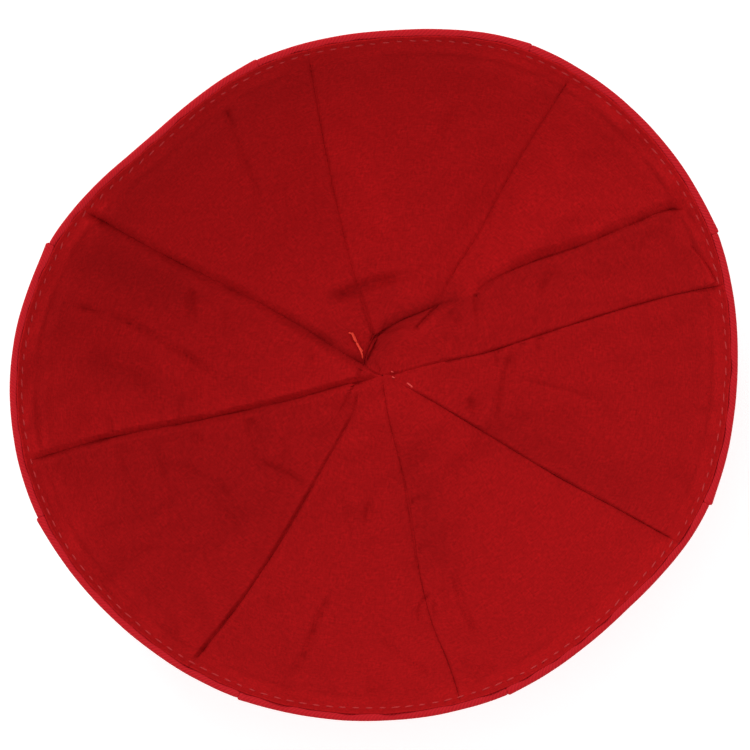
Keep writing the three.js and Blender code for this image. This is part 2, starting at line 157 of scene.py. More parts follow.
LINES = {
    "seam_1_inner": Line(
        (TUFT, (4.6, -0.4), (7.5, 0.4), (15.7, 2.5)),
        groove=0.5, left=0.7, right=0.8, fade=(3, 0)),
    "seam_1": Line(
        ((15.7, 2.5), (24.7, 4.3), (36.0, 7.9), (50.7, 12.7), (71.9, 18.8), (86.0, 21.6)),
        groove=0.45, left=1.0, right=2.5, fade=(1, 0), lift=0.4),
    "seam_1_hook": Line(
        ((14.2, 4.6), (15.0, 3.2), (15.9, 2.5)),
        groove=0.5, left=0.5, right=0.5, fade=(0.5, 0.3)),
    "seam_2": Line(
        ((14.6, 16.8), (18.2, 24.2), (23.4, 32.6), (30.8, 46.2), (49.0, 76.0)),
        groove=0.48, left=0.9, right=0.8, fade=(6, 0), crest=-0.9, reach=7),
    "seam_3": Line(
        ((-1.5, 8.6), (-3.7, 15.9), (-6.7, 25.0), (-10.2, 38.8), (-13.6, 54.8), (-18.0, 80.0)),
        groove=0.48, left=0.9, right=0.8, crest=-0.9, reach=7),
    "seam_3_inner": Line(
        ((-1.7, 4.7), (-1.5, 7.6), (-2.2, 10.1), (-3.7, 14.5), (-5.4, 20.4)),
        groove=0.5, left=0.7, right=0.7, fade=(2, 6)),
    "seam_4_inner": Line((TUFT, (-1.6, -0.3), (-4.2, 1.8)), groove=0.4, left=0.6, right=0.6, fade=(1, 0)),
    "seam_4": Line(
        ((-4.2, 1.8), (-8.1, 3.8), (-15.2, 8.4), (-25.2, 14.4), (-49.9, 27.0), (-74.0, 40.2)),
        groove=1.75, left=2.5, right=2.2, crest=1.2, reach=8),
    "seam_5": Line(
        (TUFT, (-4.4, -2.4), (-8.1, -3.1), (-16.7, -5.5), (-40.8, -11.2), (-65.8, -16.1),
         (-88.0, -22.4), (-112.0, -29.2)),
        groove=1.7, left=2.0, right=1.6, fade=(6, 60), crest=1.0, reach=6),
    "seam_6": Line(
        (TUFT, (-3.6, -3.2), (-5.8, -6.9), (-7.8, -12.5), (-12.7, -21.2), (-32.2, -53.7), (-46.6, -72.2)),
        groove=0.95, left=1.25, right=0.95, fade=(40, 0)),
    "seam_6_inner": Line(
        ((-5.8, -4.5), (-5.9, -7.1), (-6.4, -10.0), (-8.7, -14.0), (-12.7, -21.2)),
        groove=0.4, left=0.6, right=0.6, fade=(2, 8)),
    "seam_7": Line(
        (TUFT, (1.2, -6.9), (5.2, -23.9), (10.2, -52.4), (12.9, -62.5), (16.6, -71.5), (20.8, -84.5)),
        groove=0.42, left=0.8, right=1.3, fade=(5, 0), lift=-0.12, crest=0.4, reach=8),
    "seam_8": Line(
        (TUFT, (4.7, -2.9), (13.2, -7.5), (35.8, -21.2), (60.3, -34.9), (75.0, -43.0)),
        groove=0.45, left=1.0, right=2.2, fade=(14, 0), lift=0.45),
    # the fold that swallows the tips of two gores, and the pleat that runs on to the hem
    "tuck_foot": Line(
        ((-4.2, 1.8), (-3.5, 4.5), (-1.5, 8.6)),
        groove=0.95, left=2.6, right=2.4, lift=0.2, spread=4),
    "tuck": Line(
        ((-1.5, 8.6), (4.2, 12.3), (11.4, 15.4), (14.6, 16.8)),
        groove=1.15, left=3.4, right=3.2, fade=(0, 2), lift=0.3, spread=6, crest=0.4, reach=6),
    "tuck_end": Line(
        ((12.8, 16.1), (16.9, 17.4), (22.5, 17.9)),
        groove=1.1, left=2.6, right=2.4, fade=(2, 6), lift=0.2, spread=5),
    "tuck_crease": Line(
        ((8.0, 9.8), (10.5, 12.5), (14.3, 16.4)),
        groove=1.15, left=0.8, right=0.8, fade=(2, 0.5)),
    "tuck_hook": Line(
        ((17.4, 15.4), (19.7, 12.7), (20.9, 10.0)),
        groove=0.8, left=1.2, right=1.2, fade=(1, 2)),
    "pleat": Line(
        ((23.5, 19.8), (26.1, 21.7), (37.0, 26.9), (50.6, 31.5), (62.7, 36.5), (71.5, 39.8),
         (75.6, 39.8)),
        groove=1.42, left=2.7, right=2.2, fade=(2, 2.5), lift=-0.2, spread=7),
    "pleat_turn": Line(
        ((23.9, 19.8), (24.3, 14.9), (24.9, 11.0), (25.7, 7.5)),
        groove=1.2, left=1.8, right=1.4, fade=(1, 8)),
    "hem_tuck": Line(
        ((75.9, 31.5), (77.7, 29.4), (80.1, 25.9), (82.4, 21.8)),
        groove=0.55, left=1.0, right=0.6, fade=(2, 0.5), lift=-0.4, spread=2.5),
    # soft folds and dents
    "crown_slack": Line(
        ((-12.7, 18.5), (-7.5, 19.7), (-2.5, 21.9), (3.5, 23.4), (12.2, 25.0), (17.0, 26.5)),
        groove=2.4, left=2.4, right=2.2, fade=(4, 18)),
    "left_wave": Line(
        ((-77.8, 16.7), (-69.4, 14.6), (-51.2, 5.7), (-37.6, -3.5)),
        groove=1.25, left=1.8, right=1.6, fade=(5, 8), lift=-0.1),
    "left_hollow": Line(
        ((-73.1, 5.2), (-62.2, 1.5), (-52.9, -6.7)),
        groove=2.04, left=5, right=5, fade=(8, 8)),
    "left_bump": Line(((-51.0, 2.0), (-45.0, -7.2)), fade=(4, 4), crest=1.4, reach=3.2),
    "left_dent": Line(
        ((-47.4, 21.1), (-47.0, 13.9), (-47.5, 8.9)),
        groove=1.56, left=2.2, right=2.2, fade=(2, 6)),
    "left_streak": Line(((-38.1, 16.2), (-37.6, 6.5)), groove=1.2, left=2.2, right=2.2, fade=(3, 4)),
    "left_hook": Line(((-66.3, -15.4), (-67.5, -10.1)), groove=1.0, left=0.7, right=0.7, fade=(0.5, 3)),
    "inner_dip": Line(((-17.2, 7.5), (-18.2, -4.7)), groove=0.96, left=2.0, right=2.0, fade=(4, 4)),
    "lower_sag": Line(
        ((-33.2, -10.7), (-30.6, -17.2), (-29.1, -23.4), (-24.6, -25.6), (-17.7, -29.6)),
        groove=1.5, left=2.8, right=2.8, fade=(3, 3)),
    "lower_bump": Line(((-27.1, -14.7), (-23.4, -22.0)), fade=(3, 3), crest=1.2, reach=2.4),
    "lower_ripple": Line(
        ((-49.9, -24.6), (-41.2, -28.6), (-35.0, -37.0), (-30.8, -43.2)),
        groove=1.0, left=2.6, right=2.6, fade=(5, 6)),
    "lower_dent": Line(
        ((-70.3, -39.6), (-59.6, -37.3), (-47.4, -31.5)),
        groove=0.95, left=2.8, right=2.8, fade=(5, 6)),
    "low_dent": Line(
        ((-61.8, -45.8), (-54.1, -44.2), (-44.8, -45.6)),
        groove=0.6, left=2.4, right=2.4, fade=(5, 6)),
    "pocket_a": Line(((-64.6, -17.3), (-61.6, -26.7)), groove=1.1, left=1.8, right=1.8, fade=(5, 4)),
    "pocket_b": Line(
        ((-55.6, -16.4), (-54.1, -21.6), (-51.8, -29.5)),
        groove=1.1, left=1.6, right=1.6, fade=(5, 5)),
    "pocket_c": Line(((-48.0, -13.7), (-43.3, -19.6)), groove=1.15, left=1.5, right=1.5, fade=(4, 3)),
    "pucker_a": Line(((-53.8, -13.4), (-53.4, -5.2)), groove=0.6, left=1.3, right=1.3, fade=(1, 5)),
    "pucker_b": Line(((-49.4, -12.4), (-48.5, -3.2)), groove=0.6, left=1.3, right=1.3, fade=(1, 5)),
    "pucker_c": Line(((-41.8, -10.7), (-40.8, -2.0)), groove=0.6, left=1.3, right=1.3, fade=(1, 5)),
    "bottom_wave": Line(
        ((-10.9, -53.6), (-15.8, -63.4), (-18.3, -70.1), (-22.4, -76.0)),
        groove=1.4, left=0.9, right=1.7, fade=(6, 4), lift=0.25),
    "bottom_curl": Line(
        ((-0.2, -64.6), (4.7, -69.5), (13.3, -75.4)),
        groove=0.95, left=1.3, right=1.1, fade=(5, 4)),
    "bottom_spot": Line(
        ((-9.7, -31.0), (-7.2, -37.1), (-5.2, -41.8)),
        groove=0.96, left=1.9, right=1.9, fade=(3, 4)),
    "bottom_fleck": Line(((-2.2, -31.0), (-3.7, -40.6)), groove=0.96, left=1.6, right=1.6, fade=(3, 4)),
    "bottom_dent": Line(
        ((18.4, -49.4), (20.1, -56.8), (24.5, -66.5)),
        groove=0.9, left=1.3, right=1.3, fade=(4, 4)),
    "seam_pocket": Line(
        ((12.6, -55.0), (9.8, -58.4), (9.9, -62.4)),
        groove=0.7, left=0.8, right=0.8, fade=(1, 2)),
    "seam_slack": Line(((13.6, -56.4), (13.6, -62.0)), groove=0.6, left=0.9, right=1.1, fade=(1.5, 2)),
    "low_right_dent": Line(((18.3, -70.1), (29.3, -74.1)), groove=1.68, left=4.5, right=4.5, fade=(5, 5)),
    "striation_a": Line(((7.4, -32.5), (14.7, -31.2)), groove=0.7, left=1.4, right=1.4, fade=(1, 5)),
    "striation_b": Line(((8.3, -39.3), (16.2, -38.6)), groove=0.7, left=1.2, right=1.2, fade=(1, 6)),
    "striation_c": Line(((9.2, -44.2), (16.2, -43.5)), groove=0.7, left=1.2, right=1.2, fade=(1, 6)),
    "right_sag": Line(
        ((33.4, 6.5), (31.6, -2.2), (29.6, -13.4)),
        groove=1.3, left=2.4, right=2.4, fade=(4, 5)),
    "right_faint": Line(
        ((33.4, -1.7), (44.5, -4.7), (56.4, -8.2)),
        groove=0.7, left=1.8, right=2.2, fade=(3, 8)),
    "right_smudge": Line(((21.8, -5.7), (25.6, -12.2)), groove=1.32, left=2.4, right=2.4, fade=(3, 3)),
    "pucker_d": Line(((29.8, 5.4), (29.4, -0.8)), groove=0.7, left=1.2, right=1.2, fade=(0.5, 4)),
    "pucker_e": Line(((35.4, 7.2), (34.9, -0.8)), groove=0.7, left=1.2, right=1.2, fade=(0.5, 5)),
    "pucker_f": Line(((39.8, 8.6), (39.8, 1.2)), groove=0.7, left=1.2, right=1.2, fade=(0.5, 5)),
    "strip_dent": Line(((39.8, 18.4), (44.5, 26.1)), groove=1.08, left=3, right=3, fade=(3, 3)),
    "strip_end": Line(((75.8, 31.5), (74.2, 22.6)), groove=0.5, left=2.2, right=2.2, fade=(3, 3)),
    "below_sag": Line(((6.2, -25.2), (14.5, -20.4)), groove=0.35, left=2.4, right=2.8, fade=(1, 4)),
    "top_wave": Line(
        ((-29.1, 38.0), (-30.5, 45.0), (-34.2, 54.7), (-38.5, 66.9)),
        groove=1.08, left=1.6, right=1.0, fade=(10, 4)),
    "top_line": Line(
        ((15.2, 56.3), (18.6, 64.6), (21.8, 73.3)),
        groove=0.84, left=1.6, right=3.0, fade=(6, 4)),
    "top_patch": Line(((-0.2, 30.4), (2.7, 43.5)), fade=(5, 5), crest=1.1, reach=3.5),
    "crown_nick": Line(
        ((0.3, -0.6), (-0.4, 1.0), (-1.2, 3.2)),
        groove=0.3, left=0.4, right=0.4, fade=(0.5, 1)),
}
# Leads the first gore's middle line up to the pleat.
PLEAT_LEAD = ((9.0, 7.0), (17.0, 15.0), (21.0, 18.2))

# One row for each lining gore: the lines that bound it clockwise and counterclockwise, how
# far from the tuft its tip is, and its mesh's columns and rows. The tuck laps over the tips of
# the second and third gores, so those end short of the tuft. The first gore's columns also
# gather along a middle line, the pleat's. Tones are painted light and shade: how light the
# cloth is painted along the clockwise seam and along the other one, as shares of the lining's
# colour.
LINING_GORES = (
    {"clockwise": ("seam_1_inner", "seam_1"),
     "counterclockwise": ("seam_4_inner", "tuck_foot", "tuck", "seam_2"),
     "tones": (0.94, 1.07), "tip": 0.12, "columns": 150, "rows": 180, "pleat": True},
    {"clockwise": ("tuck", "seam_2"), "counterclockwise": ("seam_3",),
     "tones": (1.08, 1.1), "tip": 9.95, "columns": 104, "rows": 140},
    {"clockwise": ("tuck_foot", "seam_3"), "counterclockwise": ("seam_4",),
     "tones": (1.05, 1.04), "tip": 5.6, "columns": 104, "rows": 145},
    {"clockwise": ("seam_4_inner", "seam_4"), "counterclockwise": ("seam_5",),
     "tones": (0.99, 1.0), "tip": 0.12, "columns": 110, "rows": 155},
    {"clockwise": ("seam_5",), "counterclockwise": ("seam_6",),
     "tones": (0.9, 0.88), "tip": 0.12, "columns": 110, "rows": 155},
    {"clockwise": ("seam_6",), "counterclockwise": ("seam_7",),
     "tones": (0.92, 0.94), "tip": 0.12, "columns": 104, "rows": 145},
    {"clockwise": ("seam_7",), "counterclockwise": ("seam_8",),
     "tones": (0.95, 0.98), "tip": 0.12, "columns": 104, "rows": 145},
    {"clockwise": ("seam_8",), "counterclockwise": ("seam_1_inner", "seam_1"),
     "tones": (0.93, 0.95), "tip": 0.12, "columns": 104, "rows": 145},
)
LINING_GATHER = 0.11  # how strongly a gore's columns gather along its lines
TONES_FROM_CROWN = (4, 24)  # between these distances from the crown a gore takes on its tones of painted light and shade

# Places where light and shade are painted into the cotton: darker patches are painted shade,
# along the tuck, the pleat and other folds and hollows, and lighter ones are painted light.
# Each row gives how far it reaches to both sides of its route, how much lighter or darker it
# is, as a share of the colour, and the route.
PAINTED_SHADING_PATCHES = (
    (5.5, -0.15, ((-73.5, 28.0), (-62.1, 24.5), (-52.5, 20.5))),
    (3.6, -0.12, ((-70.0, 1.5), (-58.0, -4.5), (-50.0, -7.5))),
    (4, 0.12, ((-76.5, 29.0), (-70.0, 38.0))),
    (8, -0.12, ((-66.0, 43.0), (-50.0, 57.0), (-28.0, 71.0), (0.0, 79.0), (20.0, 80.0))),
    (3.5, -0.13, ((-13.0, 9.5), (-9.5, 9.0))),
    (3.2, -0.12, ((-4.0, 15.5), (2.0, 18.5))),
    (1.8, -0.06, ((3.4, 21.6), (12.0, 23.6))),
    (3, -0.08, ((-2.0, 27.5), (6.0, 30.5))),
    (4, 0.06, ((-3.0, -18.2), (8.4, -19.5))),
    (2, -0.08, ((-38.0, -2.0), (-31.5, -6.5), (-28.2, -16.5))),
    (1.6, -0.13, ((-4.4, 2.2), (-9.5, 5.2), (-15.2, 8.6), (-22.0, 12.6))),
    (3, -0.1, ((-79.4, 16.6), (-80.2, 12.0))),
    (2.4, -0.08, ((-84.4, 1.0), (-84.8, -8.0), (-84.4, -15.9))),
    (3, 0.08, ((-47.0, -4.9), (-44.5, -4.6))),
    (5, 0.07, ((-77.0, -28.0), (-67.0, -42.0))),
    (3, 0.08, ((-47.5, -60.5), (-45.0, -66.5))),
    (5, 0.05, ((-3.0, -76.0), (8.0, -72.0))),
    (3, -0.08, ((40.0, 70.5), (58.0, 61.0))),
    (2, -0.12, ((64.0, 55.5), (69.5, 49.0))),
    (1.8, -0.13, ((-12.0, 18.6), (-7.5, 19.7), (-2.5, 21.6))),
    (3.1, -0.24, ((-2.6, 3.6), (-0.2, 7.2), (4.5, 12.2), (11.7, 15.6), (18.4, 18.0))),
    (1.2, -0.08, ((26.1, 21.3), (37.0, 26.5), (50.6, 31.1), (62.7, 36.1), (70.5, 39.2))),
    (14, -0.08, ((-53.5, -29.5), (-38.0, -30.0))),
    (6, -0.12, ((7.2, -19.7), (10.7, -32.1), (14.2, -45.0))),
    (6, -0.1, ((29.6, -15.2), (44.5, -21.1), (60.4, -28.4))),
    (6, 0.08, ((-7.7, 54.9), (-1.5, 42.5), (1.0, 32.6))),
    (6, 0.05, ((44.1, 61.9), (34.5, 37.5), (27.1, 30.1))),
)
HEM_PAINTED_LIGHT = 0.09  # painted light: how much lighter the cotton is painted in a band along its hem
HEM_TONE_IN = 5.5  # in plan, from the outline to where that ends, on average
HEM_TONE_WANDER = 0.6  # how far it strays from there
HEM_TONE_SOFT = 0.8  # half the width over which it dies away


# ---- Small tools ---------------------------------------------------------------------------
def linear(hex_colour):
    """An sRGB hex colour as linear RGBA."""
    value = hex_colour.lstrip("#")
    channels = [int(value[at : at + 2], 16) / 255 for at in (0, 2, 4)]
    return [c / 12.92 if c <= 0.04045 else ((c + 0.055) / 1.055) ** 2.4 for c in channels] + [1.0]


def shaded(colour, light):
    """A linear colour made lighter or darker, as RGBA."""
    return (*[min(1, channel * light) for channel in colour], 1)


def add_node(tree, kind, inputs=None, **settings):
    """Adds a node. Its inputs are numbers or colours to set, or sockets to link, or nodes
    whose first output is linked."""
    node = tree.nodes.new(kind)
    for name, value in settings.items():
        setattr(node, name, value)
    for key, value in (inputs or {}).items():
        if isinstance(value, bpy.types.Node):
            value = value.outputs[0]
        if isinstance(value, bpy.types.NodeSocket):
            tree.links.new(value, node.inputs[key])
        else:
            node.inputs[key].default_value = value
    return node


def smooth_through(knots, values, at):
    """A cubic through values at knots, with each slope taken from the knot's neighbours."""
    knots, values = np.asarray(knots, float), np.asarray(values, float)
    slopes = np.gradient(values, knots, axis=0)
    index = np.clip(np.searchsorted(knots, at, side="right") - 1, 0, len(knots) - 2)
    span = knots[index + 1] - knots[index]
    t = np.clip((at - knots[index]) / span, 0, 1)
    shape = t.shape + (1,) * (values.ndim - 1)
    t, span = t.reshape(shape), span.reshape(shape)
    rise = t * t * (3 - 2 * t)
    pulls = slopes[index] * t * (1 - t) ** 2 + slopes[index + 1] * t * t * (t - 1)
    return values[index] * (1 - rise) + values[index + 1] * rise + span * pulls


def smoothstep(low, high, value):
    t = np.clip((value - low) / (high - low), 0, 1)
    return t * t * (3 - 2 * t)


def ripples(x, y, wavelength, seed, waves=14):
    """A smooth uneven field about zero, of roughly one wavelength."""
    random = np.random.default_rng(seed)
    total = np.zeros_like(x)
    for _ in range(waves):
        heading, phase = random.uniform(0, 2 * math.pi, 2)
        pitch = 2 * math.pi / (wavelength * random.uniform(0.7, 1.4))
        total += np.sin(pitch * (x * math.cos(heading) + y * math.sin(heading)) + phase)
    return total / math.sqrt(waves)


def lengths_along(points):
    """How far along a plan route each of its points is."""
    steps = np.diff(np.array(points), axis=0)
    return np.concatenate([[0], np.cumsum(np.hypot(*steps.T))])


# ---- The bowl ------------------------------------------------------------------------------
def gore_seams(index):
    """The angles in degrees of a shell gore's clockwise seam and of its other one."""
    seam = SHELL_GORES[index]["seam"]
    following = SHELL_GORES[(index + 1) % len(SHELL_GORES)]["seam"]
    return seam, following + 360 if following < seam else following


def rim_stops():
    """Angles and radii that the rim passes through, over three turns."""
    angles, radii = [], []
    for index, gore in enumerate(SHELL_GORES):
        seam, following = gore_seams(index)
        angles += [seam, (seam + following) / 2]
        radii += [gore["seam_radius"], gore["mid_radius"]]
    turns = [np.array(angles) + turn for turn in (-360, 0, 360)]
    return np.radians(np.concatenate(turns)), np.tile(radii, 3)


RIM_ANGLES, RIM_RADII = rim_stops()


def rim_radius(angle):
    return smooth_through(RIM_ANGLES, RIM_RADII, np.mod(angle, 2 * math.pi))


def inside_rim(x, y):
    """How far inside the rim's outline plan positions are."""
    return rim_radius(np.arctan2(y, x)) - np.hypot(x, y)


def plan_middle():
    """The middle of the cap's outline, folded corners included, from the crown's centre."""
    angles = np.linspace(0, 2 * math.pi, 1440, endpoint=False)
    reach = rim_radius(angles)
    for gore in SHELL_GORES:
        past = np.mod(angles - math.radians(gore["seam"]), 2 * math.pi) * MEAN_RADIUS
        reach = reach + gore["corner"] * np.exp(-past / CORNER_REACH)
    outline = np.stack([reach * np.cos(angles), reach * np.sin(angles)])
    return (outline.min(1) + outline.max(1)) / 2


CROWN = -plan_middle()  # the crown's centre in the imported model's frame, in millimetres


def rim_height(radius):
    return CAP_DEPTH - RIM_DROP * (radius - MEAN_RADIUS)


def wall_climb(share):
    """Sine of the wall's lean at a share of the way out to the rim, and a little past it."""
    return np.clip((share - REST_SHARE) / (1 - REST_SHARE), 0, 1.05) * math.sin(RIM_SLOPE)


def wall_from_plan(x, y, depth):
    """Points of the wall that stand over plan positions, at a depth under the outer surface,
    with the wall's inward normals. Depths are square to the wall."""
    angle, reach = np.arctan2(y, x), np.hypot(x, y)
    radius = rim_radius(angle)
    share = reach / radius
    for _ in range(6):
        share = (reach + depth * wall_climb(share)) / radius
    climb = wall_climb(share)
    level = np.sqrt(1 - climb**2)
    height = rim_height(radius) * (1 - level) / (1 - math.cos(RIM_SLOPE)) + depth * level
    normal = np.stack([-climb * np.cos(angle), -climb * np.sin(angle), level], -1)
    return np.stack([x, y, height], -1), normal


def placed(points):
    """Crown-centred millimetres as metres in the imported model's frame."""
    return (np.asarray(points, float) + [CROWN[0], CROWN[1], 0]) * MM


# ---- The lining's relief -------------------------------------------------------------------
def route_points(route, steps=12):
    """A route smoothed through its points."""
    knots = lengths_along(route)
    at = np.concatenate([np.linspace(a, b, steps, endpoint=False) for a, b in zip(knots, knots[1:])])
    return smooth_through(knots, route, np.append(at, knots[-1]))


def beside(points, line):
    """Signed distance of points from a line, left positive, their place along it in
    millimetres, and the line's length."""
    nearest = np.full(len(points), np.inf)
    signed, along = np.zeros(len(points)), np.zeros(len(points))
    walked = 0.0
    for start, end in zip(line, line[1:]):
        step = end - start
        length = np.hypot(*step)
        t = np.clip((points - start) @ step / length**2, 0, 1)
        away = points - start - t[:, None] * step
        distance = np.hypot(*away.T)
        closer = distance < nearest
        nearest[closer] = distance[closer]
        side = np.sign(step[0] * away[:, 1] - step[1] * away[:, 0])
        signed[closer] = (side * distance)[closer]
        along[closer] = (walked + t * length)[closer]
        walked += length
    return signed, along, walked


def furrow(signed, line):
    """Height of the cloth beside a line: a crisp rounded lip on the side that stands up and a
    gradual dip on the other, over the crest or hollow that both sides share."""
    away = np.abs(signed)
    flank = np.where(signed > 0, line.left, line.right)
    t = np.clip(away / flank, 0, 1)
    lip = 1 - np.sqrt(1 - (1 - t) ** 2)
    swell = abs(line.lift) * np.exp(-((away / line.spread) ** 1.5))
    lipped = swell - (line.groove + abs(line.lift)) * lip
    dipped = -line.groove * (1 - t) ** 1.5
    crest = line.crest * np.exp(-((away / line.reach) ** 2))
    return np.where(signed * line.lift > 0, lipped, dipped) + crest


def fold(points, name, edges):
    """Which plan points a line is near, and how it raises or lowers the cloth there."""
    line = LINES[name]
    path = route_points(line.route)
    swelling = max(line.spread if line.lift else 0, line.reach if line.crest else 0)
    margin = max(SWELL_REACH * swelling, line.left, line.right)
    near = ((points > path.min(0) - margin) & (points < path.max(0) + margin)).all(1)
    signed, along, length = beside(points[near], path)
    if name in edges[0]:
        signed = np.abs(signed)
    if name in edges[1]:
        signed = -np.abs(signed)
    grown = smoothstep(-SHORTEST_FADE, max(line.fade[0], SHORTEST_FADE), along)
    left_over = smoothstep(-SHORTEST_FADE, max(line.fade[1], SHORTEST_FADE), length - along)
    uneven = 1 + UNEVEN * ripples(along, along * 0, wavelength=9, seed=len(name))
    past_end = np.where((along <= 0) | (along >= length), np.exp(-np.abs(signed) / END_REACH), 1)
    return near, furrow(signed, line) * grown * left_over * uneven * past_end


def hemmed(folds, x, y):
    """Folds as the hem lets them be: flat and puckered along the stitches, and raised where
    the lining's turned-in allowance lies under it."""
    inset = inside_rim(x, y)
    free = smoothstep(*FREE_FROM_HEM, inset)
    past_ridge = smoothstep(-HEM_RIDGE_SOFT, HEM_RIDGE_SOFT, inset - HEM_RIDGE_IN)
    ridge = HEM_RIDGE * (1 + 0.5 * ripples(x, y, wavelength=18, seed=11)) * (1 - past_ridge)
    around = np.arctan2(y, x) * MEAN_RADIUS
    pucker = PUCKER * ripples(around, inset * 0.15, wavelength=6.5, seed=12)
    held = np.exp(-(((inset - STITCH_IN) / PUCKER_REACH) ** 2))
    stitch_dip = -STITCH_DIP * np.exp(-(((inset - STITCH_IN) / STITCH_DIP_REACH) ** 2))
    deepest = HEM_DEEPEST + (DEEPEST - HEM_DEEPEST) * smoothstep(*DEEP_FROM_HEM, inset)
    resting = np.maximum(np.maximum(folds, DEEPEST) * free + pucker * held, deepest)
    return resting + ridge * free + stitch_dip


def lining_height(points, edges):
    """How far the lining stands in from its plain depth, at plan points. Edges are the
    lines that bound the gore: the gore lies left of the first set and right of the other."""
    x, y = points.T
    folds = sum(height * ripples(x, y, wavelength, seed) for height, wavelength, seed in SLACK)
    for name in LINES:
        near, raised = fold(points, name, edges)
        folds[near] += raised
    return hemmed(folds, x, y)


def lining_depth(inset):
    """The plain depth of the lining's face, which the hem's layers push inwards."""
    hem = 1 - smoothstep(*PLAIN_FROM_HEM, inset)
    return LINING_DEPTH + (LINING_HEM_DEPTH - LINING_DEPTH) * hem


def lining_surface(x, y, edges=((), ())):
    """The lining's face over plan positions, and its inward normals."""
    height = lining_height(np.stack([x, y], -1).reshape(-1, 2), edges).reshape(x.shape)
    return wall_from_plan(x, y, lining_depth(inside_rim(x, y)) + height)


# ---- The lining's gores --------------------------------------------------------------------
def lining_reach(angle):
    """From the tuft to the lining's edge, along an angle, in plan."""
    reach = np.full_like(angle, MEAN_RADIUS)
    for _ in range(12):
        x, y = TUFT[0] + reach * np.cos(angle), TUFT[1] + reach * np.sin(angle)
        around = np.arctan2(y, x)
        waver = sum(height * np.sin(waves * around + phase) for height, waves, phase in EDGE_WAVER)
        reach += inside_rim(x, y) - LINING_EDGE_IN - EDGE_ROUND + waver
    return reach


def joined(names):
    """The route of several lines that run on into each other."""
    return [point for name in names for point in LINES[name].route]


def route_angles(route, shares):
    """The angle about the tuft of a route, at shares of the way out to the hem."""
    x, y = (np.array(route, float) - TUFT).T
    reach = np.hypot(x, y)
    onward = np.concatenate([[True], np.diff(reach) > 0.01]) & (reach > 0.1)
    angle = np.unwrap(np.arctan2(y, x)[onward])
    share = reach[onward] / lining_reach(angle)
    return smooth_through(share, angle, np.clip(shares, share[0], share[-1]))


def wall_rows(count, first_share):
    """Shares of the way out, evenly spaced up the wall, and their lengths from the crown."""
    flat = REST_SHARE * MEAN_RADIUS
    wall = CAP_DEPTH / (1 - math.cos(RIM_SLOPE)) * RIM_SLOPE
    lengths = np.linspace(0, flat + wall, 400)
    turn = np.clip((lengths - flat) / wall, 0, 1) * RIM_SLOPE
    shares = np.minimum(lengths / flat, 1) * REST_SHARE
    shares += (1 - REST_SHARE) * np.sin(turn) / math.sin(RIM_SLOPE)
    at = np.linspace(np.interp(first_share, shares, lengths), lengths[-1], count)
    return np.interp(at, lengths, shares), at


def gore_angles(gore, shares):
    """The angles about the tuft of a lining gore's lattice, and those of the lines that its
    columns gather along: its two seams, with the pleat between them in the first gore."""
    low = route_angles(joined(gore["clockwise"]), shares)
    high = route_angles(joined(gore["counterclockwise"]), shares)
    high += 2 * math.pi * np.ceil((low[-1] - high[-1]) / (2 * math.pi))
    stops = [low, high]
    if "pleat" in gore:
        stops.insert(1, route_angles([*PLEAT_LEAD, *LINES["pleat"].route], shares))
    spans = []
    for start, end in zip(stops, stops[1:]):
        part = np.linspace(0, 1, gore["columns"] // len(stops[1:]))
        part = part - LINING_GATHER * np.sin(2 * math.pi * part)
        spans.append(start[:, None] + (end - start)[:, None] * part[bool(spans) :])
    return np.concatenate(spans, axis=1), stops


def fold_edge(face, back, pattern, normal, angle):
    """Turns the last rows of a gore's face and back over in a quarter round, and adds the
    cloth that this takes to its flat pattern."""
    out = np.hypot(normal[:, 0], normal[:, 1])
    upward = np.stack([normal[:, 2] * np.cos(angle), normal[:, 2] * np.sin(angle), out], -1)
    turns = np.linspace(0, math.pi / 2, EDGE_STEPS + 1)[1:]
    turned = [math.sin(turn) * upward - (1 - math.cos(turn)) * normal for turn in turns]
    reached = [EDGE_BACK * math.sin(turn) * upward for turn in turns]
    taken = np.stack([0 * turns, EDGE_ROUND * turns], -1)[:, None, :]
    face = np.concatenate([face, face[-1] + EDGE_ROUND * np.array(turned)])
    back = np.concatenate([back, back[-1] + EDGE_ROUND * np.array(reached)])
    return face, back, np.concatenate([pattern, pattern[-1] + taken])


def lining_tone(x, y, part, tones):
    """How light the cotton is painted at plan positions in a gore with these tones at its two
    seams: painted light and shade, gore by gore, in patches and in a band along the hem.
    """
    # painted light and shade gore by gore, from one seam's tone to the other's
    gained = smoothstep(*TONES_FROM_CROWN, np.hypot(x, y))
    tone = 1 + (tones[0] + (tones[1] - tones[0]) * part - 1) * gained
    points = np.stack([x, y], -1).reshape(-1, 2)
    # patches of painted shade in folds and hollows, and of painted light
    for reach, light, route in PAINTED_SHADING_PATCHES:
        away = beside(points, route_points(route))[0].reshape(x.shape)
        tone = tone * (1 + light * np.exp(-((away / reach) ** 2)))
    # a band of painted light along the hem
    edge = HEM_TONE_IN + HEM_TONE_WANDER * ripples(x, y, wavelength=12, seed=31)
    past_hem = smoothstep(-HEM_TONE_SOFT, HEM_TONE_SOFT, inside_rim(x, y) - edge)
    return tone * (1 + HEM_PAINTED_LIGHT * (1 - past_hem))


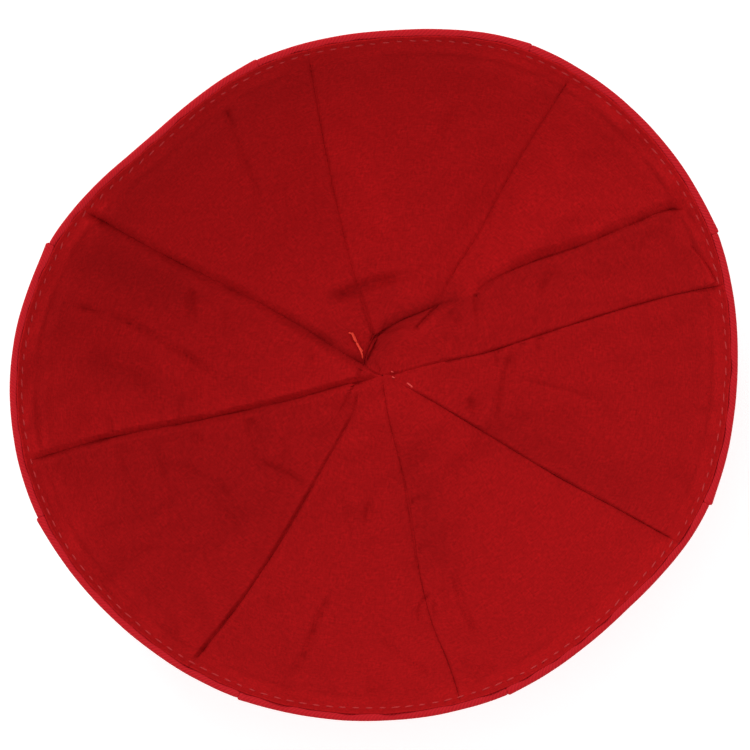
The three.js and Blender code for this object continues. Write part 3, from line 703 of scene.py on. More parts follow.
def closed_wall(name, face, back, pattern):
    """A closed wall of cloth from two lattices of points, with the flat cloth as UV map."""
    rows, columns = face.shape[:2]
    at = np.arange(rows * columns).reshape(rows, columns)
    quads = np.stack([at[:-1, :-1], at[:-1, 1:], at[1:, 1:], at[1:, :-1]], -1).reshape(-1, 4)
    rim = np.concatenate([at[0, :-1], at[:-1, -1], at[-1, :0:-1], at[:0:-1, 0]])
    following, below = np.roll(rim, -1), rows * columns
    sides = np.stack([following, rim, rim + below, following + below], -1)
    faces = np.concatenate([quads[:, ::-1], quads + below, sides[:, ::-1]])
    points = placed(np.concatenate([face.reshape(-1, 3), back.reshape(-1, 3)]))
    mesh = bpy.data.meshes.new(name)
    mesh.from_pydata(points.tolist(), [], faces.tolist())
    layer = mesh.uv_layers.new(name="UVMap")
    spread = np.tile(pattern.reshape(-1, 2) * MM, (2, 1))
    layer.data.foreach_set("uv", spread[faces.ravel()].ravel())
    mesh.update()
    return mesh


def lining_gore(index):
    """One gore of the lining as a closed wall with its hem edge folded."""
    gore = LINING_GORES[index]
    shares, lengths = wall_rows(gore["rows"], gore["tip"] / MEAN_RADIUS)
    angle, stops = gore_angles(gore, shares)
    low, high = stops[0][:, None], stops[-1][:, None]
    part = (angle - low) / np.maximum(high - low, 1e-6)
    reach = shares[:, None] * lining_reach(angle)
    x, y = TUFT[0] + reach * np.cos(angle), TUFT[1] + reach * np.sin(angle)
    face, normal = lining_surface(x, y, (gore["clockwise"], gore["counterclockwise"]))
    hold = smoothstep(0, 0.5, shares) * smoothstep(1, 0.85, shares)  # flat at tip and hem
    face += normal * (PUFF * np.sin(math.pi * part) * hold[:, None])[..., None]
    back = face - normal * LINING_CLOTH
    from_middle = (angle - (low + high) / 2) * reach
    pattern = np.stack([from_middle, np.broadcast_to(lengths[:, None], x.shape)], -1)
    face, back, pattern = fold_edge(face, back, pattern, normal[-1], angle[-1])
    mesh = closed_wall(f"lining_cloth_{index + 1}", face, back, pattern)
    if "pleat" in gore:
        part = smoothstep(-0.004, 0.004, angle - stops[1][:, None])  # it changes at the pleat
    # painted light and shade for the cotton's colour, kept on the mesh as its tone
    tone = lining_tone(x, y, part, gore["tones"])
    tone = np.concatenate([tone, np.repeat(tone[-1:], EDGE_STEPS, axis=0)])
    painted_shading = mesh.attributes.new("tone", "FLOAT", "POINT")
    painted_shading.data.foreach_set("value", np.tile(tone.ravel(), 2))
    return mesh


# ---- The shell, made by a node tree --------------------------------------------------------
SHELL_INPUTS = {
    "Crown": (CROWN[0] * MM, CROWN[1] * MM, 0),
    "Cap depth": CAP_DEPTH * MM,
    "Mean radius": MEAN_RADIUS * MM,
    "Rest share": REST_SHARE,
    "Rim slope": RIM_SLOPE,
    "Rim drop": RIM_DROP,
    "Corner": 0.0,
    "Corner reach": CORNER_REACH * MM,
    "Cloth": TWILL,
    "Roll radius": (ROLL - TWILL) / 2,
    "Turn-in": TURN_IN,
    "Seam round": SEAM_ROUND,
    "Unevenness": 0.0004,
    "Columns": 60,
    "Rows": 100,
    "Seed": 0.0,
}
# Which shares of a gore's rows lie flat on the crown, climb the wall, go over the roll and
# turn in behind it.
SHELL_BANDS = (("flat", 0, 0.12), ("wall", 0.12, 0.78), ("roll", 0.78, 0.95), ("strip", 0.95, 1))
SHELL_GATHER = 0.13  # how strongly the columns gather at both seams
SHELL_ACROSS = (
    ("turn", "MULTIPLY", "u", 2 * math.pi),
    ("bunch", "SINE", "turn"),
    ("bunched", "MULTIPLY", "bunch", SHELL_GATHER),
    ("across", "SUBTRACT", "u", "bunched"),
)
TIP_SHARE = 0.004  # where a gore's point ends, beside the crown's centre
SHELL_STEPS = (
    # the bowl
    ("lean", "MULTIPLY", "wall", "Rim slope"),
    ("climb", "SINE", "lean"),
    ("level", "COSINE", "lean"),
    ("rim_climb", "SINE", "Rim slope"),
    ("rim_level", "COSINE", "Rim slope"),
    ("climbed", "DIVIDE", "climb", "rim_climb"),
    ("wall_span", "SUBTRACT", 1.0, "Rest share"),
    ("wall_share", "MULTIPLY", "climbed", "wall_span"),
    ("flat_span", "SUBTRACT", "Rest share", TIP_SHARE),
    ("flat_share", "MULTIPLY_ADD", "flat", "flat_span", TIP_SHARE),
    ("share", "ADD", "flat_share", "wall_share"),
    ("square_x", "MULTIPLY", "rim_x", "rim_x"),
    ("square", "MULTIPLY_ADD", "rim_y", "rim_y", "square_x"),
    ("rim_radius", "SQRT", "square"),
    ("heading_x", "DIVIDE", "rim_x", "rim_radius"),
    ("heading_y", "DIVIDE", "rim_y", "rim_radius"),
    ("wider", "SUBTRACT", "rim_radius", "Mean radius"),
    ("sunk", "MULTIPLY", "wider", "Rim drop"),
    ("rim_height", "SUBTRACT", "Cap depth", "sunk"),
    ("rise", "SUBTRACT", 1.0, "level"),
    ("full_rise", "SUBTRACT", 1.0, "rim_level"),
    ("risen", "DIVIDE", "rise", "full_rise"),
    ("height", "MULTIPLY", "rim_height", "risen"),
    ("reach", "MULTIPLY", "rim_radius", "share"),
    # the folded corner that stands out at the clockwise seam, on the outer side of the roll
    ("beta", "MULTIPLY", "roll", math.pi),
    ("roll_level", "COSINE", "beta"),
    ("roll_climb", "SINE", "beta"),
    ("outer_side", "MULTIPLY_ADD", "roll_level", 0.5, 0.5),
    ("past_seam", "MULTIPLY", "across", "width"),
    ("past_part", "DIVIDE", "past_seam", "Corner reach"),
    ("past_minus", "MULTIPLY", "past_part", -1.0),
    ("near_seam", "EXPONENT", "past_minus"),
    ("near_rim", "POWER", "share", 8.0),
    ("near_both", "MULTIPLY", "near_seam", "near_rim"),
    ("near_corner", "MULTIPLY", "near_both", "outer_side"),
    ("reach_out", "MULTIPLY_ADD", "near_corner", "Corner", "reach"),
    # the rounding at both seams
    ("back_across", "SUBTRACT", 1.0, "across"),
    ("nearest", "MINIMUM", "across", "back_across"),
    ("row_width", "MULTIPLY", "width", "share"),
    ("from_seam", "MULTIPLY", "nearest", "row_width"),
    ("round_part", "DIVIDE", "from_seam", "Seam round"),
    ("round_in", "MINIMUM", "round_part", 1.0),
    ("round_left", "SUBTRACT", 1.0, "round_in"),
    ("round_square", "MULTIPLY", "round_left", "round_left"),
    ("round_rest", "SUBTRACT", 1.0, "round_square"),
    ("round_level", "SQRT", "round_rest"),
    ("round_drop", "SUBTRACT", 1.0, "round_level"),
    ("inset", "MULTIPLY", "round_drop", "Seam round"),
    # the roll over the rim and the strip turned in behind it
    ("half_cloth", "MULTIPLY", "Cloth", 0.5),
    ("roll_in", "SUBTRACT", 1.0, "roll_level"),
    ("roll_depth", "MULTIPLY_ADD", "roll_in", "Roll radius", "half_cloth"),
    ("ripple", "SUBTRACT", "noise", 0.5),
    ("uneven", "MULTIPLY", "ripple", "wall"),
    ("smooth_depth", "MULTIPLY_ADD", "inset", "roll_level", "roll_depth"),
    ("depth", "MULTIPLY_ADD", "uneven", "Unevenness", "smooth_depth"),
    ("roll_left", "SUBTRACT", "Roll radius", "inset"),
    ("roll_swell", "POWER", "roll_climb", 0.85),
    ("roll_lean", "MULTIPLY_ADD", "roll_level", 0.5, 0.9),
    ("roll_high", "MULTIPLY", "roll_left", "roll_lean"),
    ("roll_up", "MULTIPLY", "roll_high", "roll_swell"),
    ("turned_in", "MULTIPLY", "strip", "Turn-in"),
    ("along", "SUBTRACT", "roll_up", "turned_in"),
    # the point
    ("out_along", "MULTIPLY", "level", "along"),
    ("in_deep", "MULTIPLY", "climb", "depth"),
    ("outward", "SUBTRACT", "out_along", "in_deep"),
    ("up_along", "MULTIPLY", "climb", "along"),
    ("up_deep", "MULTIPLY_ADD", "level", "depth", "up_along"),
    ("last_reach", "ADD", "reach_out", "outward"),
    ("place_x", "MULTIPLY_ADD", "heading_x", "last_reach", "crown_x"),
    ("place_y", "MULTIPLY_ADD", "heading_y", "last_reach", "crown_y"),
    ("place_z", "ADD", "height", "up_deep"),
    # the same point on the flat cloth
    ("from_middle", "SUBTRACT", "across", 0.5),
    ("cloth_u", "MULTIPLY", "from_middle", "row_width"),
    ("flat_length", "MULTIPLY", "flat_share", "rim_radius"),
    ("wall_radius", "DIVIDE", "rim_height", "full_rise"),
    ("wall_length", "MULTIPLY_ADD", "lean", "wall_radius", "flat_length"),
    ("roll_length", "MULTIPLY_ADD", "beta", "Roll radius", "wall_length"),
    ("cloth_v", "ADD", "roll_length", "turned_in"),
)


def new_tree(name, inputs):
    """A Geometry Nodes tree with named inputs, and its inputs' sockets."""
    sockets = {float: "NodeSocketFloat", int: "NodeSocketInt", tuple: "NodeSocketVector"}
    tree = bpy.data.node_groups.new(name, "GeometryNodeTree")
    tree.is_modifier = True
    tree.interface.new_socket("Geometry", in_out="INPUT", socket_type="NodeSocketGeometry")
    for label, default in inputs.items():
        kind = sockets[type(default)]
        tree.interface.new_socket(label, in_out="INPUT", socket_type=kind).default_value = default
    tree.interface.new_socket("Geometry", in_out="OUTPUT", socket_type="NodeSocketGeometry")
    group_in = tree.nodes.new("NodeGroupInput")
    return tree, {socket.name: socket for socket in group_in.outputs if socket.name}


def add_steps(tree, values, steps):
    """Adds maths nodes whose operands are numbers or the names of values made before them."""
    for name, operation, *operands in steps:
        inputs = {at: values[o] if isinstance(o, str) else o for at, o in enumerate(operands)}
        values[name] = add_node(tree, "ShaderNodeMath", inputs, operation=operation, label=name)


def end_tree(tree, geometry, material):
    """Ends a tree: its instances are made real and its material is set."""
    smooth = add_node(tree, "GeometryNodeSetShadeSmooth", {"Geometry": geometry})
    real = add_node(tree, "GeometryNodeRealizeInstances", {"Geometry": smooth})
    dressed = add_node(tree, "GeometryNodeSetMaterial", {"Geometry": real, "Material": material})
    add_node(tree, "NodeGroupOutput", {"Geometry": dressed})


def shell_tree(material):
    """Shapes one gore of the shell from the arc of rim that it ends on."""
    tree, values = new_tree("shell gore", SHELL_INPUTS)
    grid = add_node(tree, "GeometryNodeMeshGrid", {
        "Vertices X": values["Columns"], "Vertices Y": values["Rows"]})
    pattern = add_node(tree, "ShaderNodeSeparateXYZ", {0: grid.outputs["UV Map"]})
    values["u"] = pattern.outputs[0]
    for name, low, high in SHELL_BANDS:
        values[name] = add_node(tree, "ShaderNodeMapRange", {
            "Value": pattern.outputs[1], "From Min": low, "From Max": high})
    add_steps(tree, values, SHELL_ACROSS)
    rim = add_node(tree, "GeometryNodeMeshToCurve", {"Mesh": values["Geometry"]})
    values["width"] = add_node(tree, "GeometryNodeCurveLength", {"Curve": rim})
    sample = add_node(tree, "GeometryNodeSampleCurve", {
        "Curves": rim, "Factor": values["across"]}, mode="FACTOR")
    on_rim = add_node(tree, "ShaderNodeSeparateXYZ", {0: sample.outputs["Position"]})
    values["rim_x"], values["rim_y"] = on_rim.outputs[:2]
    crown = add_node(tree, "ShaderNodeSeparateXYZ", {0: values["Crown"]})
    values["crown_x"], values["crown_y"] = crown.outputs[:2]
    values["noise"] = add_node(tree, "ShaderNodeTexNoise", {
        "Vector": sample.outputs["Position"], "W": values["Seed"], "Scale": 0.7 * PER_CM,
        "Detail": 1.0}, noise_dimensions="4D")
    add_steps(tree, values, SHELL_STEPS)
    place = add_node(tree, "ShaderNodeCombineXYZ", {
        axis: values[name] for axis, name in enumerate(("place_x", "place_y", "place_z"))})
    shaped = add_node(tree, "GeometryNodeSetPosition", {
        "Geometry": grid.outputs["Mesh"], "Position": place})
    cloth = add_node(tree, "ShaderNodeCombineXYZ", {0: values["cloth_u"], 1: values["cloth_v"]})
    mapped = add_node(tree, "GeometryNodeStoreNamedAttribute", {
        "Geometry": shaped, "Name": "UVMap", "Value": cloth}, data_type="FLOAT2", domain="CORNER")
    end_tree(tree, mapped, material)
    return tree


def through_nodes(name, base_mesh, tree, settings, solidify=0.0):
    """The mesh that a tree makes of a base mesh, with its settings given by their labels."""
    maker = bpy.data.objects.new(name, base_mesh)
    bpy.context.scene.collection.objects.link(maker)
    nodes = maker.modifiers.new("nodes", "NODES")
    nodes.node_group = tree
    for item in tree.interface.items_tree:
        if item.in_out == "INPUT" and item.name in settings:
            nodes[item.identifier] = settings[item.name]
    if solidify:
        wall = maker.modifiers.new("wall", "SOLIDIFY")
        wall.thickness = solidify
        wall.offset = 0
    evaluated = maker.evaluated_get(bpy.context.evaluated_depsgraph_get())
    mesh = bpy.data.meshes.new_from_object(evaluated)
    bpy.data.objects.remove(maker)
    return mesh


def polyline(name, points, closed=False):
    """A mesh of edges alone, for a tree to follow."""
    mesh = bpy.data.meshes.new(name)
    count = len(points)
    edges = [(at, (at + 1) % count) for at in range(count if closed else count - 1)]
    mesh.from_pydata(points.tolist(), edges, [])
    return mesh


def shell_gore(index, tree, cloth):
    """One gore of the shell, from the crown's centre over the rim to its turned-in edge."""
    seam, following = (math.radians(angle) for angle in gore_seams(index))
    gap = cloth.seam_gap / MM / MEAN_RADIUS / 2
    angles = np.linspace(seam + gap, following - gap, 64)
    radii = rim_radius(angles)
    arc = np.stack([radii * np.cos(angles), radii * np.sin(angles), 0 * angles], -1) * MM
    settings = {
        "Corner": SHELL_GORES[index]["corner"] * MM,
        "Cloth": cloth.twill,
        "Roll radius": (cloth.roll - cloth.twill) / 2,
        "Turn-in": cloth.turn_in,
        "Seam round": cloth.seam_round,
        "Seed": float(index),
    }
    name = f"twill_gore_{index + 1}"
    return through_nodes(name, polyline(name, arc), tree, settings, cloth.twill)


# ---- Stitches and threads ------------------------------------------------------------------
STITCH_INPUTS = {
    "Pitch": STITCH_PITCH,
    "Length": STITCH_LENGTH,
    "Thread": THREAD,
    "Slant": math.radians(11),
    "Seed": 4,
}
# A stitch's two strands: how far each lies to the side, in widths of the thread, and how far
# along, in metres.
STRANDS = ((0.55, 0.00012), (-0.55, -0.00012))
STITCH_LENGTHS = (0.62, 1.12)  # shortest and longest, as shares of the length
STITCH_LIFT = 0.05  # of the stitches' middles over the lining's face, in millimetres
STITCH_WANDER = 0.12  # how far their line strays, in millimetres


def stitch_tree(material):
    """Lays a row of running stitches along a line that carries the cloth's normal as "lay"."""
    tree, values = new_tree("running stitches", STITCH_INPUTS)
    line = add_node(tree, "GeometryNodeMeshToCurve", {"Mesh": values["Geometry"]})
    spaced = add_node(tree, "GeometryNodeResampleCurve", {
        "Curve": line, "Length": values["Pitch"]}, mode="LENGTH")
    bead = add_node(tree, "GeometryNodeMeshUVSphere", {"Segments": 10, "Rings": 8, "Radius": 0.5})
    size = add_node(tree, "ShaderNodeCombineXYZ", {
        0: values["Length"], 1: values["Thread"], 2: values["Thread"]})
    stitch = add_node(tree, "GeometryNodeJoinGeometry")
    for side, start in STRANDS:
        beside_it = add_node(tree, "ShaderNodeMath", {0: values["Thread"], 1: side}, operation="MULTIPLY")
        offset = add_node(tree, "ShaderNodeCombineXYZ", {0: start, 1: beside_it})
        strand = add_node(tree, "GeometryNodeTransform", {
            "Geometry": bead, "Translation": offset, "Scale": size})
        tree.links.new(strand.outputs[0], stitch.inputs[0])
    tangent = add_node(tree, "GeometryNodeInputTangent")
    lay = add_node(tree, "GeometryNodeInputNamedAttribute", {"Name": "lay"}, data_type="FLOAT_VECTOR")
    facing = add_node(tree, "FunctionNodeAlignRotationToVector", {"Vector": lay}, axis="Z")
    along = add_node(tree, "FunctionNodeAlignRotationToVector", {
        "Rotation": facing, "Vector": tangent}, axis="X", pivot_axis="Z")
    slant_low = add_node(tree, "ShaderNodeMath", {0: values["Slant"], 1: -1.0}, operation="MULTIPLY")
    slant = add_node(tree, "FunctionNodeRandomValue", {
        "Min": slant_low, "Max": values["Slant"], "Seed": values["Seed"]})
    yaw_angles = add_node(tree, "ShaderNodeCombineXYZ", {2: slant.outputs[1]})
    yaw = add_node(tree, "FunctionNodeEulerToRotation", {0: yaw_angles})
    turned = add_node(tree, "FunctionNodeRotateRotation", {
        "Rotation": along, "Rotate By": yaw}, rotation_space="LOCAL")
    length = add_node(tree, "FunctionNodeRandomValue", {
        "Min": STITCH_LENGTHS[0], "Max": STITCH_LENGTHS[1], "Seed": values["Seed"]})
    scale = add_node(tree, "ShaderNodeCombineXYZ", {0: length.outputs[1], 1: 1.0, 2: 1.0})
    row = add_node(tree, "GeometryNodeInstanceOnPoints", {
        "Points": spaced, "Instance": stitch, "Rotation": turned, "Scale": scale})
    end_tree(tree, row, material)
    return tree


def stitch_line():
    """The line of the hem's stitches on the lining's face, closed, with its normals."""
    angles = np.linspace(0, 2 * math.pi, 900, endpoint=False)
    wander = STITCH_WANDER * ripples(angles * MEAN_RADIUS, 0 * angles, wavelength=30, seed=21)
    reach = rim_radius(angles) - STITCH_IN + wander
    points, normals = lining_surface(reach * np.cos(angles), reach * np.sin(angles))
    mesh = polyline("stitch line", placed(points + STITCH_LIFT * normals), closed=True)
    lay = mesh.attributes.new("lay", "FLOAT_VECTOR", "POINT")
    lay.data.foreach_set("vector", normals.ravel())
    return mesh


# Runs of thread at the crown, in millimetres in plan, with the height over the cloth.
TACKS = (
    ((6.6, -2.8, -0.1), (7.3, -3.3, 0.0), (8.1, -4.0, -0.1)),
    ((2.7, 0.1, 0.0), (3.0, -0.1, 0.2), (3.3, -0.2, 0.0)),
    ((2.9, -1.3, 0.0), (3.3, -1.5, 0.2), (3.7, -1.6, 0.0)),
)
LOOSE_THREAD = (
    ((-7.9, 9.6, 0.1), (-7.3, 9.5, 0.5), (-6.4, 7.9, 0.7), (-5.2, 5.8, 0.6), (-4.6, 4.4, 0.3),
     (-4.4, 3.2, 0.0)),
    ((-7.0, 9.7, 0.2), (-6.5, 8.7, 0.4), (-5.9, 7.4, 0.6), (-5.0, 5.7, 0.5), (-4.4, 4.9, 0.3)),
)
THREAD_STEP = 0.15  # between a thread's rings, in millimetres
THREAD_SIDES = 8
THREAD_TIP = 0.25  # a thread's thickness at its very end, as a share of its own


def thread_rings(run, radius):
    """The rings of a tube of thread through a run of points on the lining, which tapers over
    its own radius at both ends, in millimetres."""
    run = np.array(run, float)
    knots = lengths_along(run[:, :2])
    at = np.linspace(0, knots[-1], max(8, int(knots[-1] / THREAD_STEP)))
    line = smooth_through(knots, run, at)
    on_cloth, normals = lining_surface(line[:, 0], line[:, 1])
    centres = on_cloth + normals * line[:, 2:3]
    ahead = np.gradient(centres, axis=0)
    ahead /= np.linalg.norm(ahead, axis=1, keepdims=True)
    aside = np.cross(ahead, normals)
    over = np.cross(aside, ahead)
    from_end = np.minimum(at, knots[-1] - at)
    size = (radius * np.minimum(1, 2 * from_end / radius + THREAD_TIP))[:, None, None]
    turn = np.linspace(0, 2 * math.pi, THREAD_SIDES, endpoint=False)[:, None]
    return centres[:, None] + size * (np.cos(turn) * aside[:, None] + np.sin(turn) * over[:, None])


def thread_mesh(name, runs, thickness):
    """Closed tubes of thread through runs of plan points on the lining, each point with its
    height over the cloth."""
    vertices, faces = [], []
    for run in runs:
        rings = thread_rings(run, thickness / MM / 2)
        at = len(vertices) + np.arange(len(rings) * THREAD_SIDES).reshape(-1, THREAD_SIDES)
        ahead = np.roll(at, -1, axis=1)
        quads = np.stack([at[:-1], ahead[:-1], ahead[1:], at[1:]], -1).reshape(-1, 4)
        faces += [*quads.tolist(), at[0, ::-1].tolist(), at[-1].tolist()]
        vertices += rings.reshape(-1, 3).tolist()
    mesh = bpy.data.meshes.new(name)
    mesh.from_pydata(placed(vertices).tolist(), [], faces)
    return mesh


# ---- Materials -----------------------------------------------------------------------------
MIX_FROM, MIX_TO, MIXED = 6, 7, 2  # the colour sockets of a mix node


def new_material(name):
    """A material and its empty tree."""
    material = bpy.data.materials.new(name)
    material.use_nodes = True
    material.node_tree.nodes.clear()
    return material, material.node_tree


def end_material(tree, inputs):
    """Ends a material's tree in a shader with these inputs."""
    shader = add_node(tree, "ShaderNodeBsdfPrincipled", inputs)
    add_node(tree, "ShaderNodeOutputMaterial", {"Surface": shader})


def bands(period):
    """The wave texture's scale that repeats after a length in metres."""
    return math.pi / 10 / period


def red_twill(colour):
    """Wool and silk twill, woven: steep diagonal ribs 0.65 mm apart, with painted light on their
    backs and painted shade between them, a low soft sheen, and thread-sized roughness."""
    material, tree = new_material("red twill")
    cloth = add_node(tree, "ShaderNodeUVMap", uv_map="UVMap")
    slanted = add_node(tree, "ShaderNodeMapping", {
        "Vector": cloth, "Rotation": (0, 0, math.radians(45))})
    ribs = add_node(tree, "ShaderNodeTexWave", {
        "Vector": slanted, "Scale": bands(0.65 * MM), "Distortion": 0.6, "Detail Scale": 2.0})
    threads = add_node(tree, "ShaderNodeTexWave", {
        "Vector": cloth, "Scale": bands(0.4 * MM), "Distortion": 1.0}, bands_direction="X")
    fuzz = add_node(tree, "ShaderNodeTexNoise", {"Vector": cloth, "Scale": 25 * PER_CM, "Detail": 2.0})
    mottle = add_node(tree, "ShaderNodeTexNoise", {
        "Vector": cloth, "Scale": 0.6 * PER_CM, "Detail": 3.0})
    ribbed = add_node(tree, "ShaderNodeMath", {
        0: ribs.outputs["Fac"], 1: threads.outputs["Fac"]}, operation="MULTIPLY")
    raised = add_node(tree, "ShaderNodeMath", {
        0: fuzz, 1: 0.6, 2: ribs.outputs["Fac"]}, operation="MULTIPLY_ADD")
    woven = add_node(tree, "ShaderNodeMath", {
        0: ribbed, 1: 0.4, 2: raised}, operation="MULTIPLY_ADD")
    bump = add_node(tree, "ShaderNodeBump", {"Height": woven, "Strength": 0.6, "Distance": 0.12 * MM})
    # painted shade between the ribs and painted light on their backs
    shade = add_node(tree, "ShaderNodeMix", {
        "Factor": ribs.outputs["Fac"], MIX_FROM: shaded(colour, 0.72), MIX_TO: shaded(colour, 1.12)},
        data_type="RGBA")
    worn = add_node(tree, "ShaderNodeMix", {
        "Factor": mottle, MIX_FROM: shade.outputs[MIXED], MIX_TO: shaded(colour, 1)}, data_type="RGBA")
    end_material(tree, {
        "Base Color": worn.outputs[MIXED], "Normal": bump, "Roughness": 0.6,
        "Specular IOR Level": 0.09, "Sheen Weight": 0.02, "Sheen Roughness": 0.5})
    return material


def red_cotton(colour):
    """Plain-woven cotton lining, dyed and matt: a fine even grain of short slubs both ways,
    faintly clouded colour, no shine. Each point's own tone, painted light and shade, makes it
    lighter or darker."""
    material, tree = new_material("red cotton plain weave")
    cloth = add_node(tree, "ShaderNodeUVMap", uv_map="UVMap")
    threads = []
    for stretch in ((19, 8), (8, 19)):
        pulled = add_node(tree, "ShaderNodeMapping", {
            "Vector": cloth, "Scale": (*[count * PER_CM for count in stretch], 1)})
        slubs = add_node(tree, "ShaderNodeTexNoise", {"Vector": pulled, "Scale": 1.0, "Detail": 1.0})
        threads.append(slubs)
    weave = add_node(tree, "ShaderNodeMath", {0: threads[0], 1: threads[1]}, operation="ADD")
    clouds = add_node(tree, "ShaderNodeTexNoise", {
        "Vector": cloth, "Scale": 2.6 * PER_CM, "Detail": 4.0})
    bump = add_node(tree, "ShaderNodeBump", {"Height": weave, "Strength": 0.5, "Distance": 0.1 * MM})
    spread = add_node(tree, "ShaderNodeMapRange", {"Value": weave, "From Min": 0.7, "From Max": 1.3})
    shade = add_node(tree, "ShaderNodeMix", {
        "Factor": spread, MIX_FROM: shaded(colour, 0.8), MIX_TO: shaded(colour, 1.2)}, data_type="RGBA")
    faint = add_node(tree, "ShaderNodeMapRange", {
        "Value": clouds, "From Min": 0.3, "From Max": 0.7, "To Max": 0.6})
    cloudy = add_node(tree, "ShaderNodeMix", {
        "Factor": faint, MIX_FROM: shade.outputs[MIXED], MIX_TO: shaded(colour, 0.9)}, data_type="RGBA")
    # the tone scales the colour with painted light and shade
    tone = add_node(tree, "ShaderNodeAttribute", attribute_name="tone")
    with_painted_shading = add_node(tree, "ShaderNodeVectorMath", {
        0: cloudy.outputs[MIXED], "Scale": tone.outputs["Fac"]}, operation="SCALE")
    end_material(tree, {
        "Base Color": with_painted_shading, "Normal": bump, "Roughness": 0.95, "Specular IOR Level": 0.06})
    return material


def sewing_thread(name, colour):
    """Twisted cotton thread: fine flecks of painted shade for the dark turns between lighter
    plies, and a slight gloss.
    """
    material, tree = new_material(name)
    place = add_node(tree, "ShaderNodeTexCoord")
    plies = add_node(tree, "ShaderNodeTexNoise", {
        "Vector": place.outputs["Object"], "Scale": 40 * PER_CM, "Detail": 2.0})
    # painted shade in the turns between the plies and painted light on them, in fine flecks
    shade = add_node(tree, "ShaderNodeMix", {
        "Factor": plies, MIX_FROM: shaded(colour, 0.7), MIX_TO: shaded(colour, 1.3)}, data_type="RGBA")
    bump = add_node(tree, "ShaderNodeBump", {"Height": plies, "Strength": 0.4, "Distance": 0.05 * MM})
    end_material(tree, {
        "Base Color": shade.outputs[MIXED], "Normal": bump, "Roughness": 0.6, "Specular IOR Level": 0.3})
    return material


def white_paper():
    """Matt white background paper on a lit table, so that hardly any shadow shows."""
    material, tree = new_material("white paper on a lit table")
    place = add_node(tree, "ShaderNodeTexCoord")
    fibres = add_node(tree, "ShaderNodeTexNoise", {
        "Vector": place.outputs["Object"], "Scale": 9 * PER_CM})
    bump = add_node(tree, "ShaderNodeBump", {"Height": fibres, "Strength": 0.1, "Distance": 0.1 * MM})
    end_material(tree, {
        "Base Color": (0.8, 0.8, 0.8, 1), "Normal": bump, "Roughness": 0.9,
        "Emission Color": (1, 1, 1, 1), "Emission Strength": 0.5})
    return material


# ---- The add-on ----------------------------------------------------------------------------
def length_property(name, description, default):
    return bpy.props.FloatProperty(
        name=name, description=description, default=default,
        min=0, unit="LENGTH", subtype="DISTANCE", precision=5)


def colour_property(name, description, default):
    return bpy.props.FloatVectorProperty(
        name=name, description=description, default=linear(default)[:3],
        size=3, min=0, max=1, subtype="COLOR")


class SkullcapCloth(bpy.types.PropertyGroup):
    """Sizes of the shell's cloth and hem."""

    twill: length_property("Twill", "Thickness of the shell's twill", TWILL)
    roll: length_property("Roll", "Thickness of the rolled hem", ROLL)
    turn_in: length_property("Turn-in", "Strip of twill turned in behind the roll", TURN_IN)
    seam_round: length_property("Seam rounding", "Roundness of the shell's edges at its seams", SEAM_ROUND)
    seam_gap: length_property("Seam gap", "Gap between two gores of the shell", SEAM_GAP)


class SkullcapStitching(bpy.types.PropertyGroup):
    """Sizes of the hem's running stitches and of the threads."""

    pitch: length_property("Pitch", "From one stitch to the next", STITCH_PITCH)
    length: length_property("Length", "Length of one stitch", STITCH_LENGTH)
    thread: length_property("Thread", "Thickness of one strand of the sewing thread", THREAD)


class SkullcapColours(bpy.types.PropertyGroup):
    """Colours of the cap's cloths and threads."""

    twill: colour_property("Twill", "Colour of the shell", "#ba141e")
    cotton: colour_property("Cotton", "Colour of the lining", "#a31013")
    hem_thread: colour_property("Hem thread", "Colour of the running stitches", "#b62628")
    tacking_thread: colour_property("Tacking thread", "Colour of the crown's tacking stitches", "#dd4540")
    loose_thread: colour_property("Loose thread", "Colour of the thread left at the crown", "#ee3c29")


def finished(name, mesh, material):
    """Links a mesh as a piece at the origin that rides on the cap's one body."""
    mesh.materials.clear()
    mesh.materials.append(material)
    mesh.polygons.foreach_set("use_smooth", [True] * len(mesh.polygons))
    mesh.name = name
    piece = bpy.data.objects.new(name, mesh)
    bpy.context.scene.collection.objects.link(piece)
    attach(piece, "root")
    return piece


def flat_size(mesh):
    """A gore's cut size and flat area in metres, from its cloth's own UV map."""
    spread = np.empty(len(mesh.loops) * 2)
    mesh.uv_layers["UVMap"].data.foreach_get("uv", spread)
    spread = spread.reshape(-1, 2)
    width, length = spread.max(0) - spread.min(0)
    starts = np.empty(len(mesh.polygons), int)
    totals = np.empty(len(mesh.polygons), int)
    mesh.polygons.foreach_get("loop_start", starts)
    mesh.polygons.foreach_get("loop_total", totals)
    corners = spread[starts[totals == 4][:, None] + np.arange(4)]
    following = np.roll(corners, -1, axis=1)
    crossed = corners[..., 0] * following[..., 1] - corners[..., 1] * following[..., 0]
    both_sides = np.abs(crossed.sum(1)).sum() / 2
    return (float(width), float(length)), float(both_sides / 2)


class SKULLCAP_OT_shell(bpy.types.Operator):
    """Make the shell's eight gores of twill with their rolled hem"""

    bl_idname = "skullcap.make_shell"
    bl_label = "Make shell"

    def execute(self, context):
        scene = context.scene
        material = red_twill(scene.skullcap_colours.twill)
        tree = shell_tree(material)
        for index in range(len(SHELL_GORES)):
            mesh = shell_gore(index, tree, scene.skullcap_cloth)
            piece = finished(f"twill_gore_{index + 1}", mesh, material)
            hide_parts(f"shell_gore_{index + 1}")
            flat, area = flat_size(mesh)
        return {"FINISHED"}


class SKULLCAP_OT_lining(bpy.types.Operator):
    """Make the lining's eight gores of cotton with their folds"""

    bl_idname = "skullcap.make_lining"
    bl_label = "Make lining"

    def execute(self, context):
        material = red_cotton(context.scene.skullcap_colours.cotton)
        for index in range(len(LINING_GORES)):
            mesh = lining_gore(index)
            piece = finished(f"lining_cloth_{index + 1}", mesh, material)
            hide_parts(f"lining_gore_{index + 1}")
            flat, area = flat_size(mesh)
        return {"FINISHED"}


